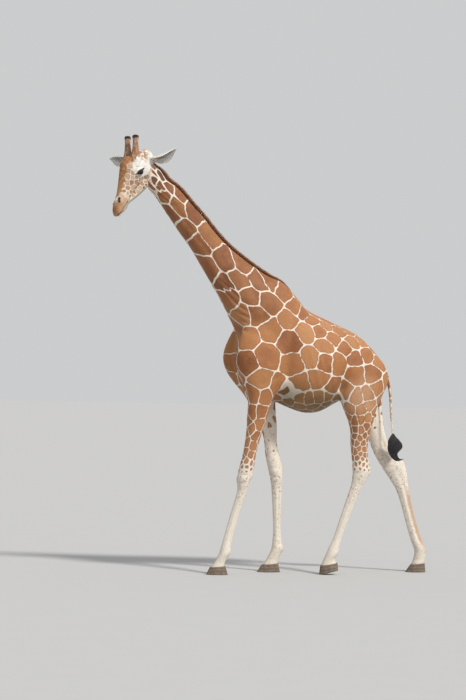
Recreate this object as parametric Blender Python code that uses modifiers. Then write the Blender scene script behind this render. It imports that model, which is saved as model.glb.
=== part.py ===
"""Reticulated giraffe, adult, walking slowly: one still animal, life size, in metres.

The animal faces -X with its left flank towards -Y; the floor is z = 0.
Flesh is lofted in one piece, blended, and parted with thin cuts into named pieces.
Each section of a loft is given by two opposite points on the outline and a half width.
"""
import math

import bmesh
import bpy
from mathutils import Matrix, Vector

# ---------------------------------------------------------------- driving sizes
GAP = 0.0003                # clear space between neighbouring pieces
VOXEL = 0.011               # grain of the blend that joins the lofts
COARSE_FACES = 3200         # faces of the whole blended body for the large pieces
FINE_FACES = 11500          # faces of the whole blended body for head and feet
RING = 20                   # points round each lofted section

HEAD_YAW = math.radians(33)       # head turned towards its left
HEAD_PITCH = math.radians(58)     # forehead to muzzle line below the horizontal
HEAD_ROLL = math.radians(5)       # left side carried a little high
HEAD_AT = Vector((-1.577, -0.140, 3.922))   # poll, between the ear roots

EYE_RADIUS = 0.029
EYE_AT = (0.201, -0.003, 0.060)   # along, above and beside the head line
EYE_PROUD = 0.009           # how far the ball stands out of the orbit
EYE_RINGS = 8
HORN_HEIGHT = 0.220
HORN_RADIUS = 0.029
HORN_AT = (0.105, 0.090, 0.056)
HORN_PROFILE = (            # share of the height, share of the radius
    (-0.40, 1.60), (0.0, 1.68), (0.2, 1.36), (0.45, 1.05), (0.7, 0.91),
    (0.86, 1.04), (0.94, 0.94), (0.985, 0.58), (1.0, 0.2),
)
EAR_LENGTH = {"left": 0.266, "right": 0.305}
EAR_WIDTH = 0.128
EAR_THICK = 0.010
EAR_BELLY = 0.42            # how much fuller the lower edge is than the upper
EAR_AT = (0.016, -0.040, 0.082)
EAR_AIM = {                 # out, back along the level, up; and turn of the opening
    "left": ((0.66, 0.56, 0.29), 46.0),
    "right": ((0.90, -0.50, 0.10), -25.0),
}
EAR_CURL = (1.65, 0.69)     # half angle of the curl at the root, and how much it opens to the tip
EAR_FULLNESS = 1.15         # how much wider the curled leaf is than its own chord
EAR_LONG = 10               # faces along an ear
EAR_WIDE = 6                # faces across an ear
HOOF_HALF = 0.058           # half width of a hoof under the coronet
HOOF_EGG = -0.10            # wider in front than behind
HOOF_FLARE = (              # share of the way down, share of the half width
    (0.0, 0.94), (0.25, 1.0), (0.6, 1.06), (0.92, 1.10), (1.0, 1.06),
)
CLEFT_WIDTH = 0.007
CLEFT_LENGTH = 0.75         # share of the sole's length that a cleft takes, counted from outside
MANE_HEIGHT = 0.052
MANE_THICK = 0.030
MANE_ROOT = 0.050           # how deep the crest reaches into the nape
MANE_RISE = (0.15, 0.45)    # share of its height at the poll, and how much each section adds
MANE_END = (                # top, bottom and half thickness where it runs out on the withers
    ((-0.236, 2.842), (-0.300, 2.760), 0.013),
    ((-0.165, 2.784), (-0.215, 2.700), 0.010),
    ((-0.105, 2.722), (-0.150, 2.640), 0.007),
)
HANDS = {"left": 1, "right": -1}

COLORS = {
    "coat": (0.42, 0.19, 0.09), "face": (0.50, 0.27, 0.14), "cream": (0.78, 0.70, 0.60),
    "ear": (0.80, 0.76, 0.70), "horn": (0.36, 0.19, 0.11), "mane": (0.22, 0.07, 0.03),
    "tuft": (0.03, 0.025, 0.03), "hoof": (0.22, 0.17, 0.13), "eye": (0.015, 0.010, 0.008),
}

# ------------------------------------------------------------------ body outline
# (outline point on top x, z), (outline point below x, z), side offset, half width, egg
TRUNK = (
    ((-0.590, 2.30), (-0.620, 2.04), 0.0, 0.120, 0.0),
    ((-0.530, 2.42), (-0.595, 1.86), 0.0, 0.195, 0.0),
    ((-0.420, 2.58), (-0.500, 1.70), 0.0, 0.230, -0.05),
    ((-0.300, 2.715), (-0.370, 1.655), 0.0, 0.235, -0.15),
    ((-0.190, 2.775), (-0.230, 1.630), 0.0, 0.262, -0.25),
    ((-0.075, 2.672), (-0.110, 1.580), 0.0, 0.300, -0.25),
    ((0.060, 2.522), (0.050, 1.532), 0.0, 0.345, -0.20),
    ((0.220, 2.447), (0.200, 1.545), 0.0, 0.352, -0.15),
    ((0.380, 2.375), (0.340, 1.620), 0.0, 0.315, -0.10),
    ((0.520, 2.315), (0.480, 1.690), 0.0, 0.275, -0.05),
    ((0.640, 2.230), (0.610, 1.710), 0.0, 0.245, 0.0),
    ((0.745, 2.095), (0.730, 1.740), 0.0, 0.200, 0.0),
    ((0.820, 1.985), (0.812, 1.850), 0.0, 0.120, 0.0),
)
NECK = (
    ((-1.500, 3.870), (-1.570, 3.700), -0.140, 0.068, 0.0),
    ((-1.410, 3.795), (-1.515, 3.610), -0.128, 0.082, 0.0),
    ((-1.330, 3.700), (-1.455, 3.545), -0.115, 0.088, 0.0),
    ((-1.218, 3.622), (-1.398, 3.475), -0.100, 0.092, 0.0),
    ((-1.100, 3.495), (-1.298, 3.338), -0.085, 0.097, 0.0),
    ((-0.975, 3.368), (-1.196, 3.201), -0.066, 0.103, -0.05),
    ((-0.868, 3.247), (-1.094, 3.075), -0.048, 0.108, -0.05),
    ((-0.732, 3.112), (-0.991, 2.916), -0.030, 0.118, -0.05),
    ((-0.569, 2.990), (-0.885, 2.749), -0.015, 0.134, -0.05),
    ((-0.414, 2.887), (-0.785, 2.591), 0.0, 0.158, -0.10),
    ((-0.290, 2.818), (-0.700, 2.430), 0.0, 0.190, -0.15),
    ((-0.180, 2.785), (-0.600, 2.230), 0.0, 0.205, -0.15),
    ((-0.060, 2.662), (-0.500, 2.020), 0.0, 0.230, -0.10),
    ((0.050, 2.530), (-0.350, 1.900), 0.0, 0.200, 0.0),
)
# front x, rear x and height of each level, side offset, half width, egg
FORE_LEFT = (
    ((-0.450, 2.560), (-0.190, 2.500), -0.105, 0.030, 0.0),
    ((-0.575, 2.370), (-0.120, 2.270), -0.145, 0.080, 0.0),
    ((-0.660, 2.130), (-0.120, 2.020), -0.187, 0.112, 0.0),
    ((-0.662, 1.960), (-0.165, 1.870), -0.200, 0.118, 0.0),
    ((-0.600, 1.810), (-0.235, 1.750), -0.205, 0.108, 0.0),
    ((-0.548, 1.680), (-0.300, 1.660), -0.202, 0.094, 0.0),
    ((-0.546, 1.545), (-0.328, 1.545), -0.195, 0.084, 0.0),
    ((-0.550, 1.355), (-0.388, 1.355), -0.184, 0.068, 0.0),
    ((-0.574, 1.166), (-0.440, 1.166), -0.176, 0.058, 0.0),
    ((-0.608, 1.020), (-0.462, 1.020), -0.170, 0.060, 0.0),
    ((-0.634, 0.897), (-0.490, 0.897), -0.167, 0.064, 0.0),
    ((-0.626, 0.835), (-0.508, 0.835), -0.165, 0.056, 0.0),
    ((-0.628, 0.775), (-0.523, 0.775), -0.163, 0.046, 0.0),
    ((-0.682, 0.585), (-0.590, 0.585), -0.160, 0.038, 0.0),
    ((-0.734, 0.395), (-0.640, 0.395), -0.157, 0.038, 0.0),
    ((-0.772, 0.253), (-0.672, 0.253), -0.155, 0.046, 0.0),
    ((-0.793, 0.187), (-0.677, 0.187), -0.155, 0.052, 0.0),
    ((-0.833, 0.115), (-0.722, 0.120), -0.155, 0.046, 0.0),
    ((-0.866, 0.062), (-0.728, 0.078), -0.155, 0.052, 0.0),
    ((-0.870, 0.040), (-0.730, 0.040), -0.155, 0.030, 0.0),
)
FORE_RIGHT = (
    ((-0.450, 2.560), (-0.190, 2.500), 0.105, 0.030, 0.0),
    ((-0.600, 2.370), (-0.120, 2.270), 0.145, 0.080, 0.0),
    ((-0.705, 2.130), (-0.120, 2.020), 0.187, 0.112, 0.0),
    ((-0.700, 1.960), (-0.130, 1.870), 0.200, 0.118, 0.0),
    ((-0.600, 1.810), (-0.150, 1.750), 0.205, 0.108, 0.0),
    ((-0.490, 1.680), (-0.175, 1.660), 0.202, 0.092, 0.0),
    ((-0.415, 1.545), (-0.175, 1.530), 0.192, 0.080, 0.0),
    ((-0.340, 1.400), (-0.165, 1.385), 0.182, 0.070, 0.0),
    ((-0.297, 1.264), (-0.166, 1.255), 0.174, 0.060, 0.0),
    ((-0.282, 1.121), (-0.140, 1.121), 0.168, 0.058, 0.0),
    ((-0.257, 0.996), (-0.108, 0.996), 0.163, 0.062, 0.0),
    ((-0.240, 0.920), (-0.103, 0.920), 0.160, 0.064, 0.0),
    ((-0.220, 0.805), (-0.111, 0.805), 0.158, 0.048, 0.0),
    ((-0.207, 0.600), (-0.117, 0.600), 0.154, 0.038, 0.0),
    ((-0.198, 0.410), (-0.118, 0.410), 0.150, 0.038, 0.0),
    ((-0.206, 0.268), (-0.104, 0.268), 0.148, 0.046, 0.0),
    ((-0.219, 0.205), (-0.091, 0.205), 0.148, 0.052, 0.0),
    ((-0.261, 0.120), (-0.132, 0.128), 0.148, 0.046, 0.0),
    ((-0.297, 0.065), (-0.145, 0.082), 0.148, 0.052, 0.0),
    ((-0.300, 0.040), (-0.147, 0.040), 0.148, 0.030, 0.0),
)
HIND_LEFT = (
    ((0.450, 2.270), (0.660, 2.190), -0.105, 0.060, 0.0),
    ((0.430, 2.130), (0.770, 2.050), -0.150, 0.098, 0.0),
    ((0.405, 1.985), (0.826, 1.930), -0.172, 0.122, 0.0),
    ((0.372, 1.850), (0.828, 1.820), -0.184, 0.132, 0.0),
    ((0.350, 1.720), (0.785, 1.720), -0.190, 0.130, 0.0),
    ((0.378, 1.600), (0.730, 1.600), -0.190, 0.118, 0.0),
    ((0.432, 1.480), (0.694, 1.480), -0.186, 0.100, 0.0),
    ((0.463, 1.368), (0.668, 1.368), -0.180, 0.082, 0.0),
    ((0.470, 1.230), (0.645, 1.230), -0.172, 0.064, 0.0),
    ((0.489, 1.085), (0.660, 1.085), -0.166, 0.054, 0.0),
    ((0.495, 0.988), (0.684, 0.988), -0.162, 0.055, 0.0),
    ((0.495, 0.920), (0.652, 0.920), -0.160, 0.053, 0.0),
    ((0.482, 0.840), (0.604, 0.840), -0.157, 0.047, 0.0),
    ((0.434, 0.695), (0.542, 0.695), -0.153, 0.041, 0.0),
    ((0.371, 0.500), (0.468, 0.500), -0.149, 0.038, 0.0),
    ((0.324, 0.355), (0.414, 0.355), -0.146, 0.038, 0.0),
    ((0.272, 0.240), (0.385, 0.240), -0.144, 0.046, 0.0),
    ((0.249, 0.182), (0.366, 0.182), -0.144, 0.051, 0.0),
    ((0.219, 0.118), (0.352, 0.130), -0.144, 0.046, 0.0),
    ((0.208, 0.080), (0.366, 0.108), -0.144, 0.052, 0.0),
    ((0.212, 0.055), (0.360, 0.075), -0.144, 0.030, 0.0),
)
HIND_RIGHT = (
    ((0.450, 2.270), (0.660, 2.190), 0.105, 0.060, 0.0),
    ((0.440, 2.130), (0.770, 2.050), 0.150, 0.098, 0.0),
    ((0.430, 1.985), (0.835, 1.930), 0.172, 0.122, 0.0),
    ((0.430, 1.850), (0.855, 1.820), 0.184, 0.130, 0.0),
    ((0.470, 1.710), (0.868, 1.720), 0.188, 0.120, 0.0),
    ((0.545, 1.590), (0.876, 1.600), 0.186, 0.105, 0.0),
    ((0.635, 1.480), (0.886, 1.490), 0.182, 0.090, 0.0),
    ((0.705, 1.375), (0.903, 1.385), 0.178, 0.076, 0.0),
    ((0.752, 1.255), (0.935, 1.265), 0.172, 0.062, 0.0),
    ((0.800, 1.140), (0.975, 1.165), 0.167, 0.053, 0.0),
    ((0.848, 1.055), (1.085, 1.090), 0.163, 0.052, 0.0),
    ((0.905, 0.970), (1.130, 0.985), 0.160, 0.053, 0.0),
    ((0.972, 0.875), (1.142, 0.880), 0.157, 0.047, 0.0),
    ((1.030, 0.778), (1.162, 0.778), 0.155, 0.043, 0.0),
    ((1.078, 0.635), (1.188, 0.635), 0.152, 0.039, 0.0),
    ((1.132, 0.445), (1.244, 0.445), 0.149, 0.038, 0.0),
    ((1.178, 0.303), (1.294, 0.303), 0.147, 0.046, 0.0),
    ((1.213, 0.210), (1.335, 0.205), 0.146, 0.051, 0.0),
    ((1.205, 0.130), (1.325, 0.136), 0.146, 0.046, 0.0),
    ((1.182, 0.068), (1.318, 0.086), 0.146, 0.052, 0.0),
    ((1.180, 0.040), (1.316, 0.040), 0.146, 0.030, 0.0),
)
# distance along the head line, top, bottom, half width, egg
SKULL = (
    (-0.062, 0.014, -0.080, 0.042, 0.0),
    (-0.022, 0.058, -0.125, 0.076, 0.0),
    (0.040, 0.100, -0.150, 0.089, 0.0),
    (0.110, 0.140, -0.150, 0.092, 0.10),
    (0.180, 0.160, -0.135, 0.092, 0.22),
    (0.250, 0.150, -0.120, 0.082, 0.15),
    (0.330, 0.121, -0.105, 0.067, 0.05),
    (0.410, 0.090, -0.092, 0.055, 0.0),
    (0.480, 0.064, -0.076, 0.049, 0.0),
    (0.540, 0.048, -0.070, 0.051, 0.0),
    (0.595, 0.037, -0.062, 0.052, 0.0),
    (0.643, 0.014, -0.060, 0.046, 0.0),
    (0.671, -0.014, -0.052, 0.027, 0.0),
)
JAW = (
    (0.010, -0.050, -0.180, 0.050, 0.0),
    (0.080, -0.060, -0.206, 0.064, 0.0),
    (0.150, -0.070, -0.212, 0.062, 0.0),
    (0.230, -0.070, -0.196, 0.052, 0.0),
    (0.320, -0.060, -0.168, 0.041, 0.0),
    (0.410, -0.050, -0.132, 0.035, 0.0),
    (0.480, -0.045, -0.101, 0.032, 0.0),
    (0.540, -0.045, -0.091, 0.034, 0.0),
    (0.588, -0.048, -0.083, 0.030, 0.0),
    (0.610, -0.054, -0.074, 0.016, 0.0),
)
# round masses set on the head: along, above, beside, and half sizes along, up, across
HEAD_MASSES = (
    (0.190, 0.138, 0.0, 0.075, 0.032, 0.046),     # median boss on the forehead
    (0.198, 0.006, 0.071, 0.056, 0.046, 0.038),   # orbit
    (0.110, -0.085, 0.050, 0.090, 0.085, 0.040),  # cheek
    (0.560, 0.002, 0.034, 0.042, 0.030, 0.022),   # nostril pad
    (0.022, -0.024, 0.066, 0.045, 0.048, 0.034),  # ear root
    (0.100, 0.092, 0.054, 0.045, 0.045, 0.040),   # horn root
)
TAIL = (
    ((0.800, 2.000), (0.790, 1.930), 0.0, 0.030, 0.0),
    ((0.862, 1.950), (0.828, 1.900), 0.0, 0.028, 0.0),
    ((0.900, 1.860), (0.858, 1.850), 0.0, 0.023, 0.0),
    ((0.922, 1.740), (0.885, 1.740), 0.0, 0.019, 0.0),
    ((0.930, 1.600), (0.898, 1.600), 0.0, 0.016, 0.0),
    ((0.934, 1.470), (0.906, 1.470), 0.0, 0.014, 0.0),
    ((0.946, 1.360), (0.922, 1.360), 0.0, 0.013, 0.0),
    ((0.960, 1.290), (0.938, 1.290), 0.0, 0.012, 0.0),
)
TUFT = (
    ((0.956, 1.345), (0.926, 1.345), 0.0, 0.018, 0.0),
    ((0.986, 1.302), (0.896, 1.298), 0.0, 0.034, 0.0),
    ((1.024, 1.256), (0.890, 1.250), 0.0, 0.045, 0.0),
    ((1.034, 1.218), (0.891, 1.204), 0.0, 0.046, 0.0),
    ((1.016, 1.188), (0.900, 1.166), 0.0, 0.038, 0.0),
    ((0.986, 1.156), (0.917, 1.134), 0.0, 0.028, 0.0),
    ((0.990, 1.122), (0.944, 1.102), 0.0, 0.019, 0.0),
    ((1.017, 1.098), (0.982, 1.080), 0.0, 0.011, 0.0),
    ((1.050, 1.102), (1.038, 1.092), 0.0, 0.006, 0.0),
)
# toe, heel and side offset of each hoof on the floor; coronet front and rear; toe-down pitch
HOOVES = {
    "hoof_front_left": ((-0.902, -0.697), (-0.869, 0.070), (-0.722, 0.082), -0.155, 0.0),
    "hoof_front_right": ((-0.345, -0.122), (-0.300, 0.072), (-0.140, 0.084), 0.148, 0.0),
    "hoof_hind_left": ((0.196, 0.378), (0.206, 0.085), (0.370, 0.112), -0.144, 13.0),
    "hoof_hind_right": ((1.130, 1.330), (1.180, 0.075), (1.320, 0.088), 0.146, 0.0),
}


# ------------------------------------------------------------------- small tools
for stray in list(bpy.data.objects):
    bpy.data.objects.remove(stray, do_unlink=True)

ANIMAL = bpy.data.collections.new("reticulated_giraffe")
CUTTERS = bpy.data.collections.new("cutters")
for group in (ANIMAL, CUTTERS):
    bpy.context.scene.collection.children.link(group)


def link(mesh, name, group=CUTTERS):
    body = bpy.data.objects.new(name, mesh)
    group.objects.link(body)
    if group is CUTTERS:
        body.hide_render = True
        body.display_type = "WIRE"
    return body


def facing_out(bm):
    bmesh.ops.recalc_face_normals(bm, faces=bm.faces)
    closed = all(edge.is_manifold for edge in bm.edges)
    if closed and bm.calc_volume(signed=True) < 0:
        bmesh.ops.reverse_faces(bm, faces=bm.faces)


def from_bmesh(bm, name, group=CUTTERS):
    facing_out(bm)
    mesh = bpy.data.meshes.new(name)
    bm.to_mesh(mesh)
    bm.free()
    return link(mesh, name, group)


def baked(body, *steps):
    """The body's mesh after modifiers (kind, settings), as a new mesh; the body keeps none."""
    made = []
    for kind, settings in steps:
        step = body.modifiers.new(kind.lower(), kind)
        for key, value in settings.items():
            setattr(step, key, value)
        made.append(step)
    bpy.context.view_layer.update()
    graph = bpy.context.evaluated_depsgraph_get()
    mesh = bpy.data.meshes.new_from_object(body.evaluated_get(graph))
    for step in made:
        body.modifiers.remove(step)
    return mesh


def shaped(body, *steps):
    body.data = baked(body, *steps)
    return body


def catmull(rows, steps):
    """Rows of equal length numbers, with steps - 1 smooth rows put between each two."""
    padded = [rows[0]] + list(rows) + [rows[-1]]
    smooth = []
    for k in range(1, len(padded) - 2):
        a, b, c, d = padded[k - 1:k + 3]
        for s in range(steps):
            t = s / steps
            smooth.append([
                0.5 * (2 * q + (r - p) * t + (2 * p - 5 * q + 4 * r - s3) * t * t
                       + (3 * q - p - 3 * r + s3) * t ** 3)
                for p, q, r, s3 in zip(a, b, c, d)
            ])
    smooth.append(list(rows[-1]))
    return smooth


def loft(rows, name, steps=3, ring=RING, side=Vector((0, 1, 0))):
    """Closed skin through sections (top point, bottom point, half width, egg)."""
    bm = bmesh.new()
    loops = []
    for tx, ty, tz, bx, by, bz, width, egg in catmull(rows, steps):
        top = Vector((tx, ty, tz))
        low = Vector((bx, by, bz))
        middle = (top + low) / 2
        half = (top - low) / 2
        loop = []
        for k in range(ring):
            turn = 2 * math.pi * k / ring
            c = math.cos(turn)
            s = math.sin(turn)
            loop.append(bm.verts.new(middle + half * c + side * (width * s * (1 + egg * c))))
        loops.append(loop)
    for one, two in zip(loops, loops[1:]):
        for k in range(ring):
            j = (k + 1) % ring
            bm.faces.new((one[k], one[j], two[j], two[k]))
    bm.faces.new(loops[0])
    bm.faces.new(loops[-1])
    return from_bmesh(bm, name)


def body_rows(table):
    """Outline rows given as two (x, z) points, a side offset, a half width and an egg."""
    return [(a[0], y, a[1], b[0], y, b[1], w, e) for a, b, y, w, e in table]


def head_frame():
    """Columns: along the head to the muzzle, up out of the forehead, out of its left side."""
    flat = Vector((-math.cos(HEAD_YAW), -math.sin(HEAD_YAW), 0))
    left = Vector((math.sin(HEAD_YAW), -math.cos(HEAD_YAW), 0))
    along = flat * math.cos(HEAD_PITCH) - Vector((0, 0, math.sin(HEAD_PITCH)))
    above = flat * math.sin(HEAD_PITCH) + Vector((0, 0, math.cos(HEAD_PITCH)))
    roll = Matrix.Rotation(HEAD_ROLL, 3, along)
    return along, roll @ above, roll @ left


ALONG, ABOVE, LEFT = head_frame()
BEHIND = Vector((math.cos(HEAD_YAW), math.sin(HEAD_YAW), 0))    # level, out of the back of the head


def head_point(u, v, w):
    return HEAD_AT + ALONG * u + ABOVE * v + LEFT * w


def head_rows(table):
    rows = []
    for u, top, low, width, egg in table:
        rows.append((*head_point(u, top, 0), *head_point(u, low, 0), width, egg))
    return rows


def ball(middle, axes, sizes, name, group=CUTTERS, rings=16):
    """Ellipsoid with half sizes along three axes."""
    bm = bmesh.new()
    bmesh.ops.create_uvsphere(bm, u_segments=2 * rings, v_segments=rings, radius=1)
    for vert in bm.verts:
        away = [axis * (size * share) for axis, size, share in zip(axes, sizes, vert.co)]
        vert.co = sum(away, Vector(middle))
    return from_bmesh(bm, name, group)


def box(middle, sizes, name, turn=0.0):
    """Box turned about the Y axis by degrees."""
    bm = bmesh.new()
    bmesh.ops.create_cube(bm, size=1)
    spin = Matrix.Rotation(math.radians(turn), 3, "Y")
    for vert in bm.verts:
        vert.co = Vector(middle) + spin @ Vector([c * s for c, s in zip(vert.co, sizes)])
    return from_bmesh(bm, name)


def joined(bodies, name):
    bm = bmesh.new()
    for body in bodies:
        bm.from_mesh(body.data)
    return from_bmesh(bm, name)


def grown(body, by, name):
    """Copy whose surface stands off by a distance along its normals."""
    copy = link(body.data.copy(), name)
    moved = [v.co + v.normal * by for v in copy.data.vertices]
    for vert, co in zip(copy.data.vertices, moved):
        vert.co = co
    return copy


def kept_part(body, cutter, mode):
    return shaped(body, ("BOOLEAN", {"operation": mode, "object": cutter, "solver": "EXACT"}))


def largest_shell(body):
    """Drops every loose shell but the largest, and welds slivers."""
    bm = bmesh.new()
    bm.from_mesh(body.data)
    bmesh.ops.remove_doubles(bm, verts=bm.verts, dist=0.00005)
    bmesh.ops.dissolve_degenerate(bm, edges=bm.edges, dist=0.00005)
    seen = set()
    shells = []
    for vert in bm.verts:
        if vert in seen:
            continue
        shell = []
        stack = [vert]
        seen.add(vert)
        while stack:
            at = stack.pop()
            shell.append(at)
            for edge in at.link_edges:
                other = edge.other_vert(at)
                if other not in seen:
                    seen.add(other)
                    stack.append(other)
        shells.append(shell)
    shells.sort(key=len)
    for shell in shells[:-1]:
        bmesh.ops.delete(bm, geom=shell, context="VERTS")
    bmesh.ops.triangulate(bm, faces=bm.faces)
    facing_out(bm)
    bm.to_mesh(body.data)
    bm.free()
    return body


def piece(mesh, name, look, rough=0.8):
    """A finished node of the animal with its own material."""
    body = link(mesh, name, ANIMAL)
    material = bpy.data.materials.new(name)
    material.use_nodes = True
    shader = material.node_tree.nodes["Principled BSDF"]
    shader.inputs["Base Color"].default_value = (*COLORS[look], 1)
    shader.inputs["Roughness"].default_value = rough
    shader.inputs["Metallic"].default_value = 0.0
    body.data.materials.clear()
    body.data.materials.append(material)
    return largest_shell(body)


# --------------------------------------------------------------- blended flesh
flesh_parts = [
    loft(body_rows(TRUNK), "trunk_loft", ring=28),
    loft(body_rows(NECK), "neck_loft", ring=24),
    loft(body_rows(FORE_LEFT), "fore_left_loft"),
    loft(body_rows(FORE_RIGHT), "fore_right_loft"),
    loft(body_rows(HIND_LEFT), "hind_left_loft"),
    loft(body_rows(HIND_RIGHT), "hind_right_loft"),
    loft(head_rows(SKULL), "skull_loft", side=LEFT, ring=24),
    loft(head_rows(JAW), "jaw_loft", side=LEFT),
]
for number, (u, v, w, a, b, c) in enumerate(HEAD_MASSES):
    for hand in ((1, -1) if w else (1,)):
        flesh_parts.append(ball(head_point(u, v, w * hand), (ALONG, ABOVE, LEFT), (a, b, c),
                                "head_mass_%d_%s" % (number, "left" if hand > 0 else "right")))
flesh = joined(flesh_parts, "flesh")
shaped(flesh, ("REMESH", {"mode": "VOXEL", "voxel_size": VOXEL, "adaptivity": 0.0}))
soft = flesh.vertex_groups.new(name="soft")
for vert in flesh.data.vertices:
    up = vert.co.z
    along = vert.co.x
    weight = min(1.0, max(0.0, (up - 1.45) / 0.3)) * min(1.0, max(0.0, (along + 1.2) / 0.5))
    soft.add([vert.index], weight, "REPLACE")
shaped(flesh, ("SMOOTH", {"factor": 0.5, "iterations": 5}),
       ("SMOOTH", {"factor": 0.6, "iterations": 26, "vertex_group": "soft"}))
flesh_faces = len(flesh.data.polygons)
coarse = link(baked(flesh, ("DECIMATE", {"ratio": COARSE_FACES / (2 * flesh_faces)})), "coarse")
fine = link(baked(flesh, ("DECIMATE", {"ratio": FINE_FACES / (2 * flesh_faces)})), "fine")

# ------------------------------------------------------------------ thin cuts
NECK_CUT = Vector((-0.44, 0, 2.57))       # middle of the cut between neck and trunk
NECK_CUT_TURN = 39.0
POLL_CUT = Vector((-1.462, 0, 3.690))     # middle of the cut between head and neck
POLL_CUT_TURN = 22.0
SLAB = 3.0                                # side of the block that stands for a half space


def slab(middle, turn, name, grow=0.0):
    """Everything past a plane through a point, on its local -X side."""
    spin = Matrix.Rotation(math.radians(turn), 3, "Y")
    centre = Vector(middle) - spin @ Vector((SLAB / 2 - grow, 0, 0))
    return box(centre, (SLAB, SLAB, SLAB), name, turn)


def leg_box(x0, x1, side, cut_z, floor_z, name, turn=0.0, grow=0.0):
    """Block round one limb below a cut; it stops short of the middle plane."""
    inner = GAP / 2 - grow
    depth = 0.5
    height = cut_z - floor_z
    centre = ((x0 + x1) / 2, side * (inner + depth / 2), (cut_z + floor_z) / 2 + grow / 2)
    return box(centre, (x1 - x0 + 2 * grow, depth, height + grow), name, turn)


LIMBS = {
    "front_left": (-1.00, -0.270, -1, 1.660, 0.900),
    "front_right": (-0.68, -0.075, 1, 1.580, 0.935),
    "hind_left": (0.330, 0.92, -1, 1.600, 0.940),
    "hind_right": (0.395, 1.40, 1, 1.600, 1.000),
}
spans = {}
for limb, (x0, x1, side, cut_z, joint_z) in LIMBS.items():
    upper = leg_box(x0, x1, side, cut_z, joint_z + GAP, limb + "_upper_box")
    lower = leg_box(x0 - 0.4, x1 + 0.3, side, joint_z, -0.2, limb + "_lower_box")
    past = leg_box(x0, x1, side, cut_z + GAP, -0.2, limb + "_past_box", grow=GAP)
    spans[limb] = (upper, lower, past)

neck_slab = slab(NECK_CUT, NECK_CUT_TURN, "neck_slab")
neck_past = slab(NECK_CUT, NECK_CUT_TURN, "neck_past", GAP)
poll_slab = slab(POLL_CUT, POLL_CUT_TURN, "poll_slab")
poll_past = slab(POLL_CUT, POLL_CUT_TURN, "poll_past", GAP)


def hoof(name, ground, front, rear, y, pitch):
    """Blunt wedge from coronet to sole, cleft in front and behind; a pitched one stands on its toe."""
    toe, heel = ground
    length = heel - toe
    raised = length * math.tan(math.radians(pitch))
    rows = []
    for t, grow in HOOF_FLARE:
        fore = (front[0] + (toe - front[0]) * t, y, front[1] * (1 - t))
        back = (rear[0] + (heel - rear[0]) * t, y, rear[1] * (1 - t) + raised * t)
        rows.append((*fore, *back, HOOF_HALF * grow, HOOF_EGG))
    body = loft(rows, name + "_loft", steps=1)
    for at in (toe - 0.01, heel + 0.005):
        notch = box((at, y, 0.03), (length * CLEFT_LENGTH, CLEFT_WIDTH, 0.5), name + "_cleft")
        kept_part(body, notch, "DIFFERENCE")
    return body


def eye(word, hand):
    """Ball set in the orbit, a little of it standing out of the skin."""
    u, v, w = EYE_AT
    outward = (LEFT * hand + ALONG * 0.12 + ABOVE * 0.10).normalized()
    surface = fine.ray_cast(head_point(u, v, w * hand), outward)[1]
    middle = surface + outward * (EYE_PROUD - EYE_RADIUS)
    return ball(middle, (ALONG, ABOVE, LEFT), (EYE_RADIUS,) * 3, "eye_" + word, rings=EYE_RINGS)


def ossicone(hand):
    """Horn core under skin: thick root, slim shaft and a knob."""
    u, v, w = HORN_AT
    foot = head_point(u, v, w * hand)
    rise = (Vector((0, 0, 1)) + LEFT * (0.02 * hand) + ABOVE * 0.04).normalized()
    front = (ALONG - rise * ALONG.dot(rise)).normalized()
    rows = []
    for t, size in HORN_PROFILE:
        at = foot + rise * (HORN_HEIGHT * t)
        radius = HORN_RADIUS * size
        rows.append((*(at + front * radius), *(at - front * radius), radius, 0.0))
    return loft(rows, "ossicone_loft", steps=1, ring=12, side=rise.cross(ALONG).normalized())


def ear(word, hand):
    """Leaf curled round its own length, deepest at the root."""
    (out, back, up), turn = EAR_AIM[word]
    root = head_point(EAR_AT[0], EAR_AT[1], EAR_AT[2] * hand)
    aim = (LEFT * (out * hand) + BEHIND * back + Vector((0, 0, up))).normalized()
    face = -BEHIND * 0.8 + LEFT * (0.35 * hand) - Vector((0, 0, 0.35))
    face = (face - aim * face.dot(aim)).normalized()
    face = Matrix.Rotation(math.radians(turn * hand), 3, aim) @ face
    across = aim.cross(face)
    bm = bmesh.new()
    grid = []
    for i in range(EAR_LONG + 1):
        t = i / EAR_LONG
        half = EAR_WIDTH / 2 * (0.42 * (1 - t) ** 1.5 + 0.92 * math.sin(math.pi * t ** 0.95) ** 0.95)
        half = max(half, 0.004)
        curl = EAR_CURL[0] - EAR_CURL[1] * t
        radius = half / curl * EAR_FULLNESS
        belly = EAR_BELLY * half * math.sin(math.pi * t) * hand
        row = []
        for j in range(EAR_WIDE + 1):
            angle = (2 * j / EAR_WIDE - 1) * curl
            wide_by = radius * math.sin(angle) * 1.05 + belly
            deep_by = radius * (1 - math.cos(angle))
            row.append(bm.verts.new(root + aim * (EAR_LENGTH[word] * t) + across * wide_by + face * deep_by))
        grid.append(row)
    for one, two in zip(grid, grid[1:]):
        for j in range(EAR_WIDE):
            bm.faces.new((one[j], two[j], two[j + 1], one[j + 1]))
    leaf = from_bmesh(bm, "ear_sheet")
    return shaped(leaf, ("SOLIDIFY", {"thickness": EAR_THICK, "offset": 0.0}))


def crest():
    """Low wall of the mane along the nape, running out on the head and on the withers."""
    rows = []
    for number, (top, low, y, width, egg) in enumerate(NECK[:-3]):
        at = Vector((top[0], y, top[1]))
        inward = (Vector((low[0], y, low[1])) - at).normalized()
        rise = MANE_HEIGHT * min(1.0, MANE_RISE[0] + MANE_RISE[1] * number)
        rows.append((*(at - inward * rise), *(at + inward * MANE_ROOT), MANE_THICK / 2, 0.0))
    for top, low, half in MANE_END:
        rows.append((top[0], 0.0, top[1], low[0], 0.0, low[1], half, 0.0))
    return loft(rows, "mane_loft", steps=1, ring=8)


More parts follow.
